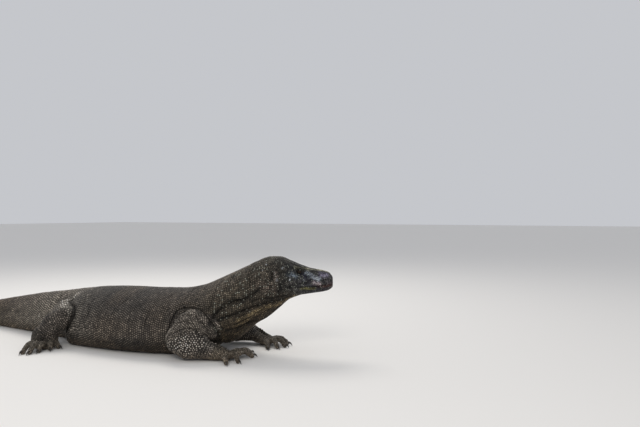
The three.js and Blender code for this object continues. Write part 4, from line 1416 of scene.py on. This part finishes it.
# the skin shows between the scales and is darkened to about 0.3 of its tone: darker skin there and painted
# shade in the gaps
skinMaterial = grainMaterial("skin", 500, 4, (0.216, 0.384), (0.7, 0.9), 0.5, 0.0006, 0.24)
clawMaterial = grainMaterial("clawHorn", 420, 5, (0.6, 1.5), (0.28, 0.55), 0.3, 0.0004, 0.5)
eyeMaterial, *_ = toneMaterial("eyeWet", Roughness=0.2, SpecularIORLevel=0.12, CoatWeight=0.12,
                               CoatRoughness=0.03)
skinPiece.data.materials.append(skinMaterial)

triangleTotal = len(triangles)
for name, number in regionNumbers.items():
    chosen = np.flatnonzero(site["region"] == number)
    coat = buildScales(f"scales_{name}", chosen, scaleColours)
    coat.data.materials.append(scaleMaterial)
    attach(coat, "root")
    triangleTotal += len(chosen) * len(scaleFaces)
    print(f"{coat.name}: {len(chosen) * len(scaleFaces)} triangles")
report(f"scales built, {triangleTotal} triangles with the skin")

# eyes
eyeValues = {
    "pupil": (7, 6, 6), "iris": (50, 33, 20), "irisRim": (22, 15, 11), "white": (40, 33, 28),
    "pupilEdge": 0.34, "irisEdge": 0.66, "bulge": 0.05,
}


def buildEye(way, name):
    # a ball turned about its axis of sight: radius R (1 + bulge exp(-(angle / 0.5)^2)), coloured by the angle
    heading = headingAt(eyePlace[0])[0]
    ahead = np.array([math.cos(heading), math.sin(heading), 0])
    sight = unit(way * np.cross([0, 0, 1], ahead) + 0.14 * ahead + [0, 0, 0.05])
    across = unit(np.cross([0, 0, 1], sight))
    over = np.cross(sight, across)
    angle = np.concatenate([np.linspace(0.03, 0.8, 30), np.linspace(0.9, math.pi - 0.1, 16)])[:, None]
    turn = np.arange(48)[None] * 2 * np.pi / 48
    radius = (eyeRadius - 0.5) * (1 + eyeValues["bulge"] * np.exp(-(angle / 0.5) ** 2))
    grid = eyeMiddles[way] + (radius * np.cos(angle) + 0 * turn)[..., None] * sight \
        + (radius * np.sin(angle) * np.cos(turn))[..., None] * across \
        + (radius * np.sin(angle) * np.sin(turn))[..., None] * over
    points, faces = gridMesh(grid[::-1])
    eye = makeObject(name, points, faces)
    turned = np.concatenate([np.repeat(angle[::-1, 0], 48), [math.pi, 0]])
    pupil, rim = eyeValues["pupilEdge"], eyeValues["irisEdge"]
    share = ramp(turned, rim, rim - 0.16) * (0.85 + 0.3 * noise(points, 0.9, 21))
    colour = mixed(linear(eyeValues["irisRim"]), linear(eyeValues["iris"]), share)
    colour = mixed(colour, linear(eyeValues["white"]), ramp(turned, rim - 0.02, rim + 0.03))
    colour = mixed(linear(eyeValues["pupil"]), colour, ramp(turned, pupil - 0.02, pupil + 0.02))
    paint(eye.data, colour)
    eye.data.materials.append(eyeMaterial)
    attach(eye, "root")
    return eye


for way, side in ((-1, "right"), (1, "left")):
    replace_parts(buildEye(way, f"eyeball_{side}"), f"eye_{side}")

# claws
clawValues = {"root": (96, 84, 70), "middle": (46, 41, 37), "tip": (26, 24, 23), "arch": 2.2, "flat": 0.82}


def buildClaw(name, digit, radius, length):
    # a horn swept along an arched curve, narrower across than deep, with growth rings near its root
    knuckle, tip = np.array(digit[1], float), np.array(digit[2], float)
    along, lift = unit((tip - knuckle) * [1, 1, 0]), np.array([0, 0, 1.0])
    curve = [tip - 3 * along + 2.5 * lift, tip + 2 * along + 4 * lift,
             tip + 0.36 * length * along + (4.3 + 0.5 * clawValues["arch"]) * lift,
             tip + 0.66 * length * along + (1.6 + 0.5 * clawValues["arch"]) * lift,
             (tip + (length - 1.2) * along) * [1, 1, 0] + 1.3 * lift]
    flat = clawValues["flat"] * radius
    sizes = [(0.9 * radius, 0.95 * radius), (0.98 * flat, 0.98 * radius), (0.74 * flat, 0.86 * radius),
             (0.46 * flat, 0.58 * radius), (0.35, 0.4)]
    grid = sweepForm(curve, sizes, 40, 24, 0)
    rings, sides = grid.shape[:2]
    t = np.linspace(0, 1, rings)[:, None]
    centre = grid.mean(1, keepdims=True)
    ripple = 1 + 0.02 * np.sin(70 * t) * (1 - t) ** 2
    groove = 1 - 0.16 * np.exp(-((np.arange(sides)[None] / sides - 0.75) / 0.06) ** 2) * (1 - t)
    grid = centre + (grid - centre) * (ripple * groove)[..., None]
    grid[..., 2] = np.maximum(grid[..., 2], 0.6)
    points, faces = gridMesh(grid)
    claw = makeObject(f"horn_{name}", points, faces)
    share = np.concatenate([np.repeat(t[:, 0], sides), [0, 1]])
    colour = mixed(linear(clawValues["root"]), linear(clawValues["middle"]), ramp(share, 0.1, 0.5))
    colour = mixed(colour, linear(clawValues["tip"]), ramp(share, 0.55, 0.95))
    paint(claw.data, colour)
    claw.data.materials.append(clawMaterial)
    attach(claw, "root")
    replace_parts(claw, f"claw_{name}")


for name, leg in legs.items():
    for k, digit in enumerate(leg["digits"]):
        buildClaw(f"{name}_{k + 1}", digit, *leg["clawSize"])
report("eyes and claws built")

# floor, light and camera
roomValues = {
    "floor": (0.82, 0.805, 0.78, 1),
    "floorRough": 0.9,
    "sky": (0.93, 0.95, 1, 1),
    "skyStrength": 0.6,
    "lens": 35,
    "cameraPlace": (2.0755, -2.1356, 0.600),   # metres in the animal's frame
    "cameraTurn": 28,                          # degrees
}
floorMesh = bpy.data.meshes.new("floor")
floorMesh.from_pydata([(-30, -30, 0), (30, -30, 0), (30, 30, 0), (-30, 30, 0)], [], [(0, 1, 2, 3)])
floorMaterial = bpy.data.materials.new("floor")
floorMaterial.use_nodes = True
floorShader = floorMaterial.node_tree.nodes["Principled BSDF"]
floorShader.inputs["Base Color"].default_value = roomValues["floor"]
floorShader.inputs["Roughness"].default_value = roomValues["floorRough"]
floorMesh.materials.append(floorMaterial)
floor = addObject("floor", floorMesh)
floor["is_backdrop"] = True

world = bpy.data.worlds.new("room")
world.use_nodes = True
sky = world.node_tree.nodes["Background"]
sky.inputs["Color"].default_value = roomValues["sky"]
sky.inputs["Strength"].default_value = roomValues["skyStrength"]
bpy.context.scene.world = world


def addLamp(name, place, target, size, watts, colour):
    lamp = bpy.data.lights.new(name, "AREA")
    lamp.shape, lamp.size, lamp.size_y = "RECTANGLE", size[0], size[1]
    lamp.energy, lamp.color = watts, colour
    obj = addObject(name, lamp)
    obj.location = place
    obj.rotation_euler = (Vector(target) - Vector(place)).to_track_quat("-Z", "Y").to_euler()


addLamp("sky", (-0.9, 1.5, 3.4), (0.2, 0, 0.2), (2.2, 1.6), 62, (1, 0.96, 0.9))
addLamp("front", (2.6, -3.4, 2.6), (0.4, 0, 0.2), (1.8, 1.4), 60, (1, 0.97, 0.92))

cameraData = bpy.data.cameras.new("camera")
cameraData.lens, cameraData.sensor_width = roomValues["lens"], 36
camera = addObject("camera", cameraData)
camera.location = np.array(roomValues["cameraPlace"]) + [origin[0], origin[1], 0]
camera.rotation_euler = (math.radians(90), 0, math.radians(roomValues["cameraTurn"]))
bpy.context.scene.camera = camera
bpy.context.scene.view_settings.view_transform = "Standard"

sizes = [list(corner) for corner in (*cadBounds, *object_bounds())]
report(f"bounds {sizes}")
